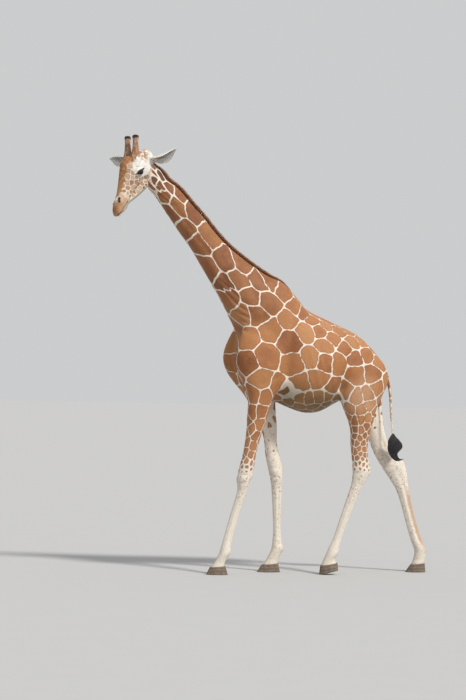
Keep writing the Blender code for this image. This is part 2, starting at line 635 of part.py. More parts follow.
# ------------------------------------------------------------------ flesh nodes
nodes = {}                  # name: body, colour, roughness
trunk = link(coarse.data.copy(), "trunk_work")
kept_part(trunk, neck_past, "DIFFERENCE")
for limb in LIMBS:
    kept_part(trunk, spans[limb][2], "DIFFERENCE")
neck = link(coarse.data.copy(), "neck_work")
kept_part(neck, neck_slab, "INTERSECT")
kept_part(neck, poll_past, "DIFFERENCE")
head = link(fine.data.copy(), "head_work")
kept_part(head, poll_slab, "INTERSECT")
for limb in LIMBS:
    upper = link(coarse.data.copy(), limb + "_upper_work")
    kept_part(upper, spans[limb][0], "INTERSECT")
    lower = link(coarse.data.copy(), limb + "_lower_work")
    kept_part(lower, spans[limb][1], "INTERSECT")
    foot = hoof("hoof_" + limb, *HOOVES["hoof_" + limb])
    kept_part(lower, grown(foot, GAP, "hoof_grown"), "DIFFERENCE")
    nodes[limb + "_upper"] = (upper, "coat", 0.8)
    nodes[limb + "_lower"] = (lower, "cream", 0.8)
    nodes["hoof_" + limb] = (foot, "hoof", 0.55)

# ------------------------------------------- what stands in or on the flesh
for word, hand in HANDS.items():
    ball_of_eye = eye(word, hand)
    kept_part(head, grown(ball_of_eye, GAP, "socket"), "DIFFERENCE")
    nodes["eye_" + word] = (ball_of_eye, "eye", 0.08)
for body in (head, neck, trunk):
    largest_shell(body)
head_trim = grown(head, 2 * GAP, "head_grown")
neck_trim = grown(neck, 1.5 * GAP, "neck_grown")
trunk_trim = grown(trunk, 1.5 * GAP, "trunk_grown")
for word, hand in HANDS.items():
    nodes["ossicone_" + word] = (kept_part(ossicone(hand), head_trim, "DIFFERENCE"), "horn", 0.8)
    nodes["ear_" + word] = (kept_part(ear(word, hand), head_trim, "DIFFERENCE"), "ear", 0.85)

mane = crest()
for trimmer in (trunk_trim, neck_trim, head_trim):
    kept_part(mane, trimmer, "DIFFERENCE")
tail = kept_part(loft(body_rows(TAIL), "tail_loft", steps=1, ring=10), trunk_trim, "DIFFERENCE")
tuft = loft(body_rows(TUFT), "tuft_loft", steps=1, ring=10)
kept_part(tuft, grown(tail, GAP, "tail_grown"), "DIFFERENCE")
nodes["mane"] = (mane, "mane", 0.9)
nodes["tail"] = (tail, "coat", 0.8)
nodes["tail_tuft"] = (tuft, "tuft", 0.9)
nodes["trunk"] = (trunk, "coat", 0.8)
nodes["neck"] = (neck, "coat", 0.8)
nodes["head"] = (head, "face", 0.8)

# ------------------------------------------- finished nodes, centred on the floor
for work, _, _ in nodes.values():
    work.name += "_work"
finished = []
for name, (work, look, rough) in nodes.items():
    finished.append(piece(work.data.copy(), name, look, rough))
points = [v.co for body in finished for v in body.data.vertices]
low, high = (Vector([pick(axis) for axis in zip(*points)]) for pick in (min, max))
shift = -Vector(((low.x + high.x) / 2, (low.y + high.y) / 2, low.z))
for body in finished:
    body.data.transform(Matrix.Translation(shift))
for cutter in list(CUTTERS.objects):
    bpy.data.objects.remove(cutter, do_unlink=True)
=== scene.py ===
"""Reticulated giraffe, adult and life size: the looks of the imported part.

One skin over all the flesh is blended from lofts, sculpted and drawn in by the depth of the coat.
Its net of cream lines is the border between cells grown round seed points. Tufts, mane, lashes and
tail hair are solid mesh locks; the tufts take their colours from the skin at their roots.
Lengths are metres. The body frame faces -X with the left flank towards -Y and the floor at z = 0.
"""
import math

import bpy
import numpy as np
from mathutils import Matrix, Vector
from mathutils.bvhtree import BVHTree
from mathutils.kdtree import KDTree


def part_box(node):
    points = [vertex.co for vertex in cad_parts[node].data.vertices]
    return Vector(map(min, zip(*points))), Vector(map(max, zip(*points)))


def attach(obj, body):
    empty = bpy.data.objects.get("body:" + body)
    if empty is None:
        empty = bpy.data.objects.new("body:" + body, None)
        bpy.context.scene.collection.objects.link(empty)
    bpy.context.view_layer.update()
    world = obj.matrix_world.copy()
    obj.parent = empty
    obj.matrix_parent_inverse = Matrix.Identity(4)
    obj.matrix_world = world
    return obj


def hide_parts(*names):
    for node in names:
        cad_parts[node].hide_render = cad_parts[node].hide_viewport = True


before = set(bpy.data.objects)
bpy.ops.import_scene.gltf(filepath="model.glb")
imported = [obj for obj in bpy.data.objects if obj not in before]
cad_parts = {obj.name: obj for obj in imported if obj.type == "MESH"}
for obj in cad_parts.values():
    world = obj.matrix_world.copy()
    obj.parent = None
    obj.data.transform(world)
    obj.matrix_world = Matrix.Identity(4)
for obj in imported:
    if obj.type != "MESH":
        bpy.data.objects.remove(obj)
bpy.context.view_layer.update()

RNG = np.random.default_rng(20)

# ---------------------------------------------------------------- driving sizes
VOXEL = 0.0122              # grain of the blend, before the head and the legs are magnified
HEAD_ZOOM = 3.7             # how much finer the skin is on the head
HEAD_REACH = 0.46           # radius round the head that is magnified
HEAD_FADE = 2.6             # distance over which the magnification wears off
LEG_TOP = 1.46              # below this height the legs are magnified
LEG_ZOOM = 1.55
LEG_FADE = 0.35             # height over which the magnification grows
COAT_DEPTH = 0.0035         # how far the skin lies inside the outline of the coat

HEAD_YAW = math.radians(33)       # head turned towards its left
HEAD_PITCH = math.radians(58)     # forehead to muzzle line below the horizontal
HEAD_ROLL = math.radians(5)       # left side carried a little high
HEAD_AT = Vector((-1.577, -0.14, 3.922))   # poll, between the ear roots

HORN_HEIGHT = 0.22
HORN_RADIUS = 0.029
HORN_AT = (0.105, 0.09, 0.056)
HORN_PROFILE = (            # share of the height, share of the radius
    (-0.4, 1.6), (0.0, 1.68), (0.2, 1.36), (0.45, 1.05), (0.7, 0.91),
    (0.86, 1.04), (0.94, 0.94), (0.985, 0.58), (1.0, 0.2),
)
EAR_LENGTH = {"left": 0.266, "right": 0.305}
EAR_WIDTH = 0.128
EAR_BELLY = 0.42            # how far the lower rim hangs out
EAR_CURL = 1.15             # half angle of the curl at the root, over the least one
EAR_CURL_LEAST = 0.5
EAR_OPENS = 0.6             # share of the curl that is lost towards the tip
EAR_FULLNESS = 1.15         # how much wider the curled leaf is than its own chord
EAR_SPREAD = 1.05
EAR_AT = (0.016, -0.04, 0.082)
EAR_AIM = {                 # out, back along the level, up; and turn of the opening
    "left": ((0.66, 0.56, 0.29), 46.0),
    "right": ((0.9, -0.5, 0.1), -25.0),
}
MANE_HEIGHT = 0.052
MANE_HALF = 0.019           # half width of the mane's roots

# ---------------------------------------------------------------- body outline
def sections(*rows):
    """Outline point on top or in front (x, z), the one opposite (x, z), side offset, half width, egg."""
    return [((x, z), (x_far, z_far), y, half, *(egg or (0.0,))) for x, z, x_far, z_far, y, half, *egg in rows]


TRUNK = sections(
    (-0.59, 2.3, -0.62, 2.04, 0.0, 0.12, 0.0), (-0.53, 2.42, -0.595, 1.86, 0.0, 0.195, 0.0),
    (-0.42, 2.58, -0.5, 1.7, 0.0, 0.23, -0.05), (-0.3, 2.715, -0.37, 1.655, 0.0, 0.235, -0.15),
    (-0.19, 2.775, -0.23, 1.63, 0.0, 0.262, -0.25), (-0.075, 2.672, -0.11, 1.58, 0.0, 0.3, -0.25),
    (0.06, 2.522, 0.05, 1.532, 0.0, 0.345, -0.2), (0.22, 2.447, 0.2, 1.545, 0.0, 0.352, -0.15),
    (0.38, 2.375, 0.34, 1.62, 0.0, 0.315, -0.1), (0.52, 2.315, 0.48, 1.69, 0.0, 0.275, -0.05),
    (0.64, 2.23, 0.61, 1.71, 0.0, 0.245, 0.0), (0.745, 2.095, 0.73, 1.74, 0.0, 0.2, 0.0),
    (0.82, 1.985, 0.812, 1.85, 0.0, 0.12, 0.0),
)
NECK = sections(
    (-1.5, 3.87, -1.57, 3.7, -0.14, 0.068, 0.0), (-1.41, 3.795, -1.515, 3.61, -0.128, 0.082, 0.0),
    (-1.33, 3.7, -1.455, 3.545, -0.115, 0.088, 0.0), (-1.218, 3.622, -1.398, 3.475, -0.1, 0.092, 0.0),
    (-1.1, 3.495, -1.298, 3.338, -0.085, 0.097, 0.0),
    (-0.975, 3.368, -1.196, 3.201, -0.066, 0.103, -0.05),
    (-0.868, 3.247, -1.094, 3.075, -0.048, 0.108, -0.05),
    (-0.732, 3.112, -0.991, 2.916, -0.03, 0.118, -0.05),
    (-0.569, 2.99, -0.885, 2.749, -0.015, 0.134, -0.05),
    (-0.414, 2.887, -0.785, 2.591, 0.0, 0.158, -0.1), (-0.29, 2.818, -0.7, 2.43, 0.0, 0.19, -0.15),
    (-0.18, 2.785, -0.6, 2.23, 0.0, 0.205, -0.15), (-0.06, 2.662, -0.5, 2.02, 0.0, 0.23, -0.1),
    (0.05, 2.53, -0.35, 1.9, 0.0, 0.2, 0.0),
)
# the legs' outline points are in front and behind
FORE_LEFT = sections(
    (-0.45, 2.56, -0.19, 2.5, -0.105, 0.03), (-0.575, 2.37, -0.12, 2.27, -0.145, 0.08),
    (-0.66, 2.13, -0.12, 2.02, -0.187, 0.112), (-0.662, 1.96, -0.165, 1.87, -0.2, 0.118),
    (-0.6, 1.81, -0.235, 1.75, -0.205, 0.108), (-0.548, 1.68, -0.3, 1.66, -0.202, 0.094),
    (-0.546, 1.545, -0.328, 1.545, -0.195, 0.084), (-0.55, 1.355, -0.388, 1.355, -0.184, 0.068),
    (-0.574, 1.166, -0.44, 1.166, -0.176, 0.058), (-0.608, 1.02, -0.462, 1.02, -0.17, 0.06),
    (-0.634, 0.897, -0.49, 0.897, -0.167, 0.064), (-0.626, 0.835, -0.508, 0.835, -0.165, 0.056),
    (-0.628, 0.775, -0.523, 0.775, -0.163, 0.046), (-0.682, 0.585, -0.59, 0.585, -0.16, 0.038),
    (-0.734, 0.395, -0.64, 0.395, -0.157, 0.038), (-0.772, 0.253, -0.672, 0.253, -0.155, 0.046),
    (-0.793, 0.187, -0.677, 0.187, -0.155, 0.052), (-0.833, 0.115, -0.722, 0.12, -0.155, 0.046),
    (-0.866, 0.062, -0.728, 0.078, -0.155, 0.052), (-0.87, 0.04, -0.73, 0.04, -0.155, 0.03),
)
FORE_RIGHT = sections(
    (-0.45, 2.56, -0.19, 2.5, 0.105, 0.03), (-0.6, 2.37, -0.12, 2.27, 0.145, 0.08),
    (-0.705, 2.13, -0.12, 2.02, 0.187, 0.112), (-0.7, 1.96, -0.13, 1.87, 0.2, 0.118),
    (-0.6, 1.81, -0.15, 1.75, 0.205, 0.108), (-0.49, 1.68, -0.175, 1.66, 0.202, 0.092),
    (-0.415, 1.545, -0.175, 1.53, 0.192, 0.08), (-0.34, 1.4, -0.165, 1.385, 0.182, 0.07),
    (-0.297, 1.264, -0.166, 1.255, 0.174, 0.06), (-0.282, 1.121, -0.14, 1.121, 0.168, 0.058),
    (-0.257, 0.996, -0.108, 0.996, 0.163, 0.062), (-0.24, 0.92, -0.103, 0.92, 0.16, 0.064),
    (-0.22, 0.805, -0.111, 0.805, 0.158, 0.048), (-0.207, 0.6, -0.117, 0.6, 0.154, 0.038),
    (-0.198, 0.41, -0.118, 0.41, 0.15, 0.038), (-0.206, 0.268, -0.104, 0.268, 0.148, 0.046),
    (-0.219, 0.205, -0.091, 0.205, 0.148, 0.052), (-0.261, 0.12, -0.132, 0.128, 0.148, 0.046),
    (-0.297, 0.065, -0.145, 0.082, 0.148, 0.052), (-0.3, 0.04, -0.147, 0.04, 0.148, 0.03),
)
HIND_LEFT = sections(
    (0.45, 2.27, 0.66, 2.19, -0.105, 0.06), (0.43, 2.13, 0.77, 2.05, -0.15, 0.098),
    (0.405, 1.985, 0.826, 1.93, -0.172, 0.122), (0.372, 1.85, 0.828, 1.82, -0.184, 0.132),
    (0.35, 1.72, 0.785, 1.72, -0.19, 0.13), (0.378, 1.6, 0.73, 1.6, -0.19, 0.118),
    (0.432, 1.48, 0.694, 1.48, -0.186, 0.1), (0.463, 1.368, 0.668, 1.368, -0.18, 0.082),
    (0.47, 1.23, 0.645, 1.23, -0.172, 0.064), (0.489, 1.085, 0.66, 1.085, -0.166, 0.054),
    (0.495, 0.988, 0.684, 0.988, -0.162, 0.055), (0.495, 0.92, 0.652, 0.92, -0.16, 0.053),
    (0.482, 0.84, 0.604, 0.84, -0.157, 0.047), (0.434, 0.695, 0.542, 0.695, -0.153, 0.041),
    (0.371, 0.5, 0.468, 0.5, -0.149, 0.038), (0.324, 0.355, 0.414, 0.355, -0.146, 0.038),
    (0.272, 0.24, 0.385, 0.24, -0.144, 0.046), (0.249, 0.182, 0.366, 0.182, -0.144, 0.051),
    (0.219, 0.118, 0.352, 0.13, -0.144, 0.046), (0.208, 0.08, 0.366, 0.108, -0.144, 0.052),
    (0.212, 0.055, 0.36, 0.075, -0.144, 0.03),
)
HIND_RIGHT = sections(
    (0.45, 2.27, 0.66, 2.19, 0.105, 0.06), (0.44, 2.13, 0.77, 2.05, 0.15, 0.098),
    (0.43, 1.985, 0.835, 1.93, 0.172, 0.122), (0.43, 1.85, 0.855, 1.82, 0.184, 0.13),
    (0.47, 1.71, 0.868, 1.72, 0.188, 0.12), (0.545, 1.59, 0.876, 1.6, 0.186, 0.105),
    (0.635, 1.48, 0.886, 1.49, 0.182, 0.09), (0.705, 1.375, 0.903, 1.385, 0.178, 0.076),
    (0.752, 1.255, 0.935, 1.265, 0.172, 0.062), (0.8, 1.14, 0.975, 1.165, 0.167, 0.053),
    (0.848, 1.055, 1.085, 1.09, 0.163, 0.052), (0.905, 0.97, 1.13, 0.985, 0.16, 0.053),
    (0.972, 0.875, 1.142, 0.88, 0.157, 0.047), (1.03, 0.778, 1.162, 0.778, 0.155, 0.043),
    (1.078, 0.635, 1.188, 0.635, 0.152, 0.039), (1.132, 0.445, 1.244, 0.445, 0.149, 0.038),
    (1.178, 0.303, 1.294, 0.303, 0.147, 0.046), (1.213, 0.21, 1.335, 0.205, 0.146, 0.051),
    (1.205, 0.13, 1.325, 0.136, 0.146, 0.046), (1.182, 0.068, 1.318, 0.086, 0.146, 0.052),
    (1.18, 0.04, 1.316, 0.04, 0.146, 0.03),
)
# distance along the head line, top, bottom, half width, egg
SKULL = (
    (-0.062, 0.014, -0.08, 0.042, 0.0), (-0.022, 0.058, -0.125, 0.076, 0.0),
    (0.04, 0.1, -0.15, 0.089, 0.0), (0.11, 0.14, -0.15, 0.092, 0.1), (0.18, 0.16, -0.135, 0.092, 0.22),
    (0.25, 0.15, -0.12, 0.082, 0.15), (0.33, 0.121, -0.105, 0.067, 0.05),
    (0.41, 0.09, -0.092, 0.055, 0.0), (0.48, 0.064, -0.076, 0.049, 0.0),
    (0.54, 0.048, -0.07, 0.051, 0.0), (0.595, 0.037, -0.062, 0.052, 0.0),
    (0.643, 0.014, -0.06, 0.046, 0.0), (0.671, -0.014, -0.052, 0.027, 0.0),
)
JAW = (
    (0.01, -0.05, -0.18, 0.05, 0.0), (0.08, -0.06, -0.206, 0.064, 0.0),
    (0.15, -0.07, -0.212, 0.062, 0.0), (0.23, -0.07, -0.196, 0.052, 0.0),
    (0.32, -0.06, -0.168, 0.041, 0.0), (0.41, -0.05, -0.132, 0.035, 0.0),
    (0.48, -0.045, -0.101, 0.032, 0.0), (0.54, -0.045, -0.091, 0.034, 0.0),
    (0.588, -0.048, -0.083, 0.03, 0.0), (0.61, -0.054, -0.074, 0.016, 0.0),
)
# round masses set on the head: along, above, beside, and half sizes along, up, across
HEAD_MASSES = (
    (0.19, 0.138, 0.0, 0.075, 0.032, 0.046),      # median boss on the forehead
    (0.198, 0.006, 0.071, 0.056, 0.046, 0.038),   # orbit
    (0.11, -0.085, 0.05, 0.09, 0.085, 0.04),      # cheek
    (0.56, 0.002, 0.034, 0.042, 0.03, 0.022),     # nostril pad
    (0.022, -0.024, 0.066, 0.045, 0.048, 0.034),  # ear root
    (0.1, 0.092, 0.054, 0.045, 0.045, 0.04),      # horn root
)
TAIL = sections(
    (0.8, 2.0, 0.79, 1.93, 0.0, 0.03), (0.862, 1.95, 0.828, 1.9, 0.0, 0.028),
    (0.9, 1.86, 0.858, 1.85, 0.0, 0.023), (0.922, 1.74, 0.885, 1.74, 0.0, 0.019),
    (0.93, 1.6, 0.898, 1.6, 0.0, 0.016), (0.934, 1.47, 0.906, 1.47, 0.0, 0.014),
    (0.946, 1.36, 0.922, 1.36, 0.0, 0.013), (0.96, 1.29, 0.938, 1.29, 0.0, 0.012),
)
TUFT = sections(
    (0.956, 1.345, 0.926, 1.345, 0.0, 0.018), (0.986, 1.302, 0.896, 1.298, 0.0, 0.034),
    (1.024, 1.256, 0.89, 1.25, 0.0, 0.045), (1.034, 1.218, 0.891, 1.204, 0.0, 0.046),
    (1.016, 1.188, 0.9, 1.166, 0.0, 0.038), (0.986, 1.156, 0.917, 1.134, 0.0, 0.028),
    (0.99, 1.122, 0.944, 1.102, 0.0, 0.019), (1.017, 1.098, 0.982, 1.08, 0.0, 0.011),
    (1.05, 1.102, 1.038, 1.092, 0.0, 0.006),
)
# toe, heel and side offset of each hoof on the floor; coronet front and rear; toe-down pitch
HOOVES = {
    "hoof_front_left": ((-0.902, -0.697), (-0.869, 0.07), (-0.722, 0.082), -0.155, 0.0),
    "hoof_front_right": ((-0.345, -0.122), (-0.3, 0.072), (-0.14, 0.084), 0.148, 0.0),
    "hoof_hind_left": ((0.196, 0.378), (0.206, 0.085), (0.37, 0.112), -0.144, 13.0),
    "hoof_hind_right": ((1.13, 1.33), (1.18, 0.075), (1.32, 0.088), 0.146, 0.0),
}

# ---------------------------------------------------------------- vectors and lofts
def unit(rows):
    return rows / np.maximum(np.linalg.norm(rows, axis=-1, keepdims=True), 1e-9)


def step(values, low, high):
    """0 below low, 1 above high, smooth between; low may be the greater."""
    t = np.clip((values - low) / (high - low), 0.0, 1.0)
    return t * t * (3 - 2 * t)


def bell(values, width):
    return np.exp(-(values / width) ** 2)


def head_frame():
    """Along the head to the muzzle, up out of the forehead, out of its left side."""
    flat = Vector((-math.cos(HEAD_YAW), -math.sin(HEAD_YAW), 0))
    left = Vector((math.sin(HEAD_YAW), -math.cos(HEAD_YAW), 0))
    along = flat * math.cos(HEAD_PITCH) - Vector((0, 0, math.sin(HEAD_PITCH)))
    above = flat * math.sin(HEAD_PITCH) + Vector((0, 0, math.cos(HEAD_PITCH)))
    roll = Matrix.Rotation(HEAD_ROLL, 3, along)
    return along, roll @ above, roll @ left


ALONG, ABOVE, LEFT = head_frame()
HEAD_AXES = np.array([ALONG, ABOVE, LEFT])


def head_point(u, v, w):
    return HEAD_AT + ALONG * u + ABOVE * v + LEFT * w


def in_head(points):
    """Distances along, above and beside the head line."""
    return (points - np.array(HEAD_AT)) @ HEAD_AXES.T


def catmull(rows, steps):
    """Smooth rows through the given ones, steps to each gap."""
    rows = np.array(rows, float)
    ends = np.vstack([rows[:1], rows, rows[-1:]])
    t = np.arange(steps)[:, None] / steps
    smooth = [
        0.5 * (2 * b + (c - a) * t + (2 * a - 5 * b + 4 * c - d) * t ** 2 + (3 * b - a - 3 * c + d) * t ** 3)
        for a, b, c, d in zip(ends, ends[1:], ends[2:], ends[3:])
    ]
    return np.vstack(smooth + [rows[-1:]])


def sampled(at, places, rows):
    """Rows read off at given places along them."""
    return np.stack([np.interp(at, places, column) for column in np.transpose(rows)], 1)


def loft(rows, steps=4, ring=36, side=(0, 1, 0), turns=None):
    """Closed skin through sections (top point, bottom point, half width, egg)."""
    rows = catmull(rows, steps)
    if turns is None:
        turns = 2 * math.pi * np.arange(ring) / ring
    ring = len(turns)
    c = np.cos(turns)[None, :, None]
    s = np.sin(turns)[None, :, None]
    middle = ((rows[:, 0:3] + rows[:, 3:6]) / 2)[:, None]
    half = ((rows[:, 0:3] - rows[:, 3:6]) / 2)[:, None]
    width = rows[:, 6][:, None, None]
    egg = rows[:, 7][:, None, None]
    verts = middle + half * c + np.array(side)[None, None] * (width * s * (1 + egg * c))
    count = len(rows)
    i, k = np.meshgrid(np.arange(count - 1) * ring, np.arange(ring), indexing="ij")
    j = (k + 1) % ring
    quads = np.stack([i + k, i + j, i + ring + j, i + ring + k], -1).reshape(-1, 4)
    faces = quads.tolist() + [list(range(ring))[::-1], list(range((count - 1) * ring, count * ring))]
    return verts.reshape(-1, 3), faces


def body_rows(table):
    return [(a[0], y, a[1], b[0], y, b[1], w, e) for a, b, y, w, e in table]


def head_rows(table):
    return [(*head_point(u, top, 0), *head_point(u, low, 0), *size) for u, top, low, *size in table]


def ball(middle, axes, sizes, rings=14):
    """Ellipsoid with half sizes along three axes."""
    rows = []
    for t in np.linspace(0.02, math.pi - 0.02, rings):
        at = np.array(middle) + np.array(axes[0]) * (sizes[0] * math.cos(t))
        up = np.array(axes[1]) * (sizes[1] * math.sin(t))
        rows.append((*(at + up), *(at - up), sizes[2] * math.sin(t), 0.0))
    return loft(rows, steps=1, ring=24, side=axes[2])


def horn_frame(hand):
    """Foot of an ossicone, its direction and the two directions across it."""
    foot = head_point(HORN_AT[0], HORN_AT[1], HORN_AT[2] * hand)
    rise = (Vector((0, 0, 1)) + LEFT * (0.02 * hand) + ABOVE * 0.04).normalized()
    front = (ALONG - rise * ALONG.dot(rise)).normalized()
    return np.array(foot), np.array(rise), np.array(front), np.array(rise.cross(ALONG).normalized())


def horn_rows(hand, profile, extra=0.0):
    """Sections of an ossicone from (share of its height, share of its radius)."""
    foot, rise, front, _ = horn_frame(hand)
    rows = []
    for t, size in profile:
        at = foot + rise * (HORN_HEIGHT * t)
        radius = HORN_RADIUS * size + extra
        rows.append((*(at + front * radius), *(at - front * radius), radius, 0.0))
    return rows


def ear_frame(hand, word):
    """Root, direction of the tip, direction of the opening and the line across."""
    (out, back, up), turn = EAR_AIM[word]
    behind = Vector((math.cos(HEAD_YAW), math.sin(HEAD_YAW), 0))
    root = head_point(EAR_AT[0], EAR_AT[1], EAR_AT[2] * hand)
    aim = (LEFT * (out * hand) + behind * back + Vector((0, 0, up))).normalized()
    face = -behind * 0.8 + LEFT * (0.35 * hand) - Vector((0, 0, 0.35))
    face = (face - aim * face.dot(aim)).normalized()
    face = Matrix.Rotation(math.radians(turn * hand), 3, aim) @ face
    return np.array(root), np.array(aim), np.array(face), np.array(aim.cross(face))


def ear_half(t):
    """Half width of an ear along its length."""
    half = EAR_WIDTH / 2 * (0.42 * (1 - t) ** 1.5 + 0.92 * np.sin(math.pi * t ** 0.95).clip(0) ** 0.95)
    return np.maximum(half, 0.004)


def ear_leaf(hand, word, t, s):
    """Curled leaf of an ear at shares along and across it: place, way into the cup, way to the rim."""
    root, aim, face, across = ear_frame(hand, word)
    half = ear_half(t)
    cup = EAR_CURL * (1 - EAR_OPENS * t)
    angle = s * (EAR_CURL_LEAST + cup)
    radius = half / (EAR_CURL_LEAST + cup) * EAR_FULLNESS
    belly = EAR_BELLY * half * np.sin(math.pi * t) * hand
    wide_by = radius * np.sin(angle) * EAR_SPREAD + belly
    deep_by = radius * (1 - np.cos(angle))
    place = (root + aim * (EAR_LENGTH[word] * t)[..., None] + across * wide_by[..., None]
             + face * deep_by[..., None])
    sine, cosine = np.sin(angle)[..., None], np.cos(angle)[..., None]
    return place, unit(face * cosine - across * sine), unit(across * cosine + face * sine)


def ear(hand, word, long=30, wide=20):
    """Closed leaf curled round its own length, thick at the root and thin at the rim."""
    t = np.linspace(0, 1, long + 1)[:, None]
    s = np.linspace(-1, 1, wide + 1)[None, :]
    sheet, inward, _ = ear_leaf(hand, word, t, s)
    thick = (0.0085 - 0.003 * np.abs(s) ** 2) * (1 - 0.3 * t ** 3)
    outer = sheet - inward * thick[..., None] / 2
    inner = sheet + inward * thick[..., None] / 2
    row = wide + 1
    far = (long + 1) * row
    faces = []
    for a in (i * row + j for i in range(long) for j in range(wide)):
        faces += [(a, a + row, a + row + 1, a + 1), (far + a, far + a + 1, far + a + row + 1, far + a + row)]
    for a in (i * row for i in range(long)):
        b = a + wide
        faces += [(a, far + a, far + a + row, a + row), (b, b + row, far + b + row, far + b)]
    for j in range(wide):
        e = long * row + j
        faces += [(j, j + 1, far + j + 1, far + j), (e, far + e, far + e + 1, e + 1)]
    return np.vstack([outer.reshape(-1, 3), inner.reshape(-1, 3)]), faces


def stacked(bodies):
    """Many (points, faces) as one."""
    points = []
    faces = []
    offset = 0
    for some, these in bodies:
        points.append(some)
        faces += [[k + offset for k in face] for face in these]
        offset += len(some)
    return np.vstack(points), faces


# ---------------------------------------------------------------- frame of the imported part
HAND = {"left": 1, "right": -1}
LEG_TABLES = {"front_left": FORE_LEFT, "front_right": FORE_RIGHT,
              "hind_left": HIND_LEFT, "hind_right": HIND_RIGHT}


def packed_shift():
    """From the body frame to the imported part's: read off the tail tuft and a hoof."""
    tuft_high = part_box("tail_tuft")[1]
    hoof_low, hoof_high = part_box("hoof_front_left")
    hoof_side = HOOVES["hoof_front_left"][3]
    return np.array([tuft_high.x - TUFT[-1][0][0], (hoof_low.y + hoof_high.y) / 2 - hoof_side, 0.0])


SHIFT = packed_shift()


def mesh_piece(name, points, faces, slot, material, smooth=True, **values):
    """Mesh object that rides on the part; faces is a list, or an array of equal polygons."""
    mesh = bpy.data.meshes.new(name)
    points = np.asarray(points) + SHIFT
    if isinstance(faces, np.ndarray):
        sides = faces.shape[1]
        mesh.vertices.add(len(points))
        mesh.vertices.foreach_set("co", points.astype(np.float32).ravel())
        mesh.loops.add(faces.size)
        mesh.loops.foreach_set("vertex_index", faces.astype(np.int32).ravel())
        mesh.polygons.add(len(faces))
        mesh.polygons.foreach_set("loop_start", np.arange(0, faces.size, sides, dtype=np.int32))
        mesh.update(calc_edges=True)
    else:
        mesh.from_pydata(points.tolist(), [], faces)
    mesh.polygons.foreach_set("use_smooth", np.full(len(mesh.polygons), smooth))
    body = bpy.data.objects.new(name, mesh)
    bpy.context.scene.collection.objects.link(body)
    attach(body, "root")
    for key, given in values.items():
        paint(mesh, key, given)
    mesh.materials.append(material)
    return body


def paint(mesh, name, values):
    """Stores a number, a colour or a place for each point."""
    values = np.asarray(values, dtype=np.float32)
    if values.ndim == 1:
        kind, key = "FLOAT", "value"
    elif name == "lie":
        kind, key = "FLOAT_VECTOR", "vector"
    else:
        kind, key = "FLOAT_COLOR", "color"
        values = np.hstack([values, np.ones((len(values), 1), np.float32)])
    layer = mesh.attributes.new(name, kind, "POINT")
    layer.data.foreach_set(key, np.ascontiguousarray(values).ravel())


# ---------------------------------------------------------------- one blended skin
HEAD_MIDDLE = np.array(head_point(0.25, -0.03, 0))


def leg_swell(z):
    """How much wider than true the magnified legs are at each height."""
    return (1 + (LEG_ZOOM - 1) * np.clip((LEG_TOP - z) / LEG_FADE, 0, 1))[:, None]


def magnified(points):
    """Space swollen round the legs and the head, so that one voxel size suits all parts."""
    points = points.copy()
    z = points[:, 2]
    points[:, :2] *= leg_swell(z)
    points[:, 2] = np.where(z < LEG_TOP, LEG_TOP - (LEG_TOP - z) * LEG_ZOOM, z)
    away = points - HEAD_MIDDLE
    reach = np.linalg.norm(away, axis=1)
    spare = (HEAD_ZOOM - 1) * HEAD_REACH
    swollen = np.where(reach < HEAD_REACH, reach * HEAD_ZOOM,
                       reach + spare * np.exp(-(reach - HEAD_REACH) / HEAD_FADE))
    return HEAD_MIDDLE + away * (swollen / np.maximum(reach, 1e-6))[:, None]


def shrunk_back(points):
    """Undoes magnified()."""
    away = points - HEAD_MIDDLE
    swollen = np.linalg.norm(away, axis=1)
    spare = (HEAD_ZOOM - 1) * HEAD_REACH
    reach = np.maximum(swollen - spare, HEAD_REACH)
    for _ in range(12):
        fade = spare * np.exp(-(reach - HEAD_REACH) / HEAD_FADE)
        reach = reach - (reach + fade - swollen) / (1 - fade / HEAD_FADE)
    reach = np.where(swollen < HEAD_ZOOM * HEAD_REACH, swollen / HEAD_ZOOM, reach)
    points = HEAD_MIDDLE + away * (reach / np.maximum(swollen, 1e-6))[:, None]
    z = points[:, 2]
    z = np.where(z < LEG_TOP, LEG_TOP - (LEG_TOP - z) / LEG_ZOOM, z)
    points[:, 2] = z
    points[:, :2] /= leg_swell(z)
    return points


def read_off(items, key, each, kind):
    """The values of a mesh's points, edges or corners, in rows."""
    found = np.empty(len(items) * each, kind)
    items.foreach_get(key, found)
    return found.reshape(-1, each)


def remeshed(points, faces, voxel):
    """Points, quads and edges of a voxel remesh."""
    mesh = bpy.data.meshes.new("cage")
    mesh.from_pydata(points.tolist(), [], faces)
    body = bpy.data.objects.new("cage", mesh)
    bpy.context.scene.collection.objects.link(body)
    blend = body.modifiers.new("blend", "REMESH")
    blend.mode = "VOXEL"
    blend.voxel_size = voxel
    graph = bpy.context.evaluated_depsgraph_get()
    made = bpy.data.meshes.new_from_object(body.evaluated_get(graph))
    bpy.data.objects.remove(body, do_unlink=True)
    points = read_off(made.vertices, "co", 3, np.float32).astype(float)
    quads = read_off(made.loops, "vertex_index", 1, np.int32).reshape(-1, 4)
    edges = read_off(made.edges, "vertices", 2, np.int32)
    bpy.data.meshes.remove(made)
    return points, quads, edges


def main_shell(points, quads, edges):
    """Keeps the largest connected shell."""
    label = np.arange(len(points))
    while True:
        low = label.copy()
        np.minimum.at(low, edges[:, 0], label[edges[:, 1]])
        np.minimum.at(low, edges[:, 1], label[edges[:, 0]])
        low = low[low]
        if (low == label).all():
            break
        label = low
    keep = label == np.bincount(label).argmax()
    place = np.cumsum(keep) - 1
    return points[keep], place[quads[keep[quads[:, 0]]]], place[edges[keep[edges[:, 0]]]]


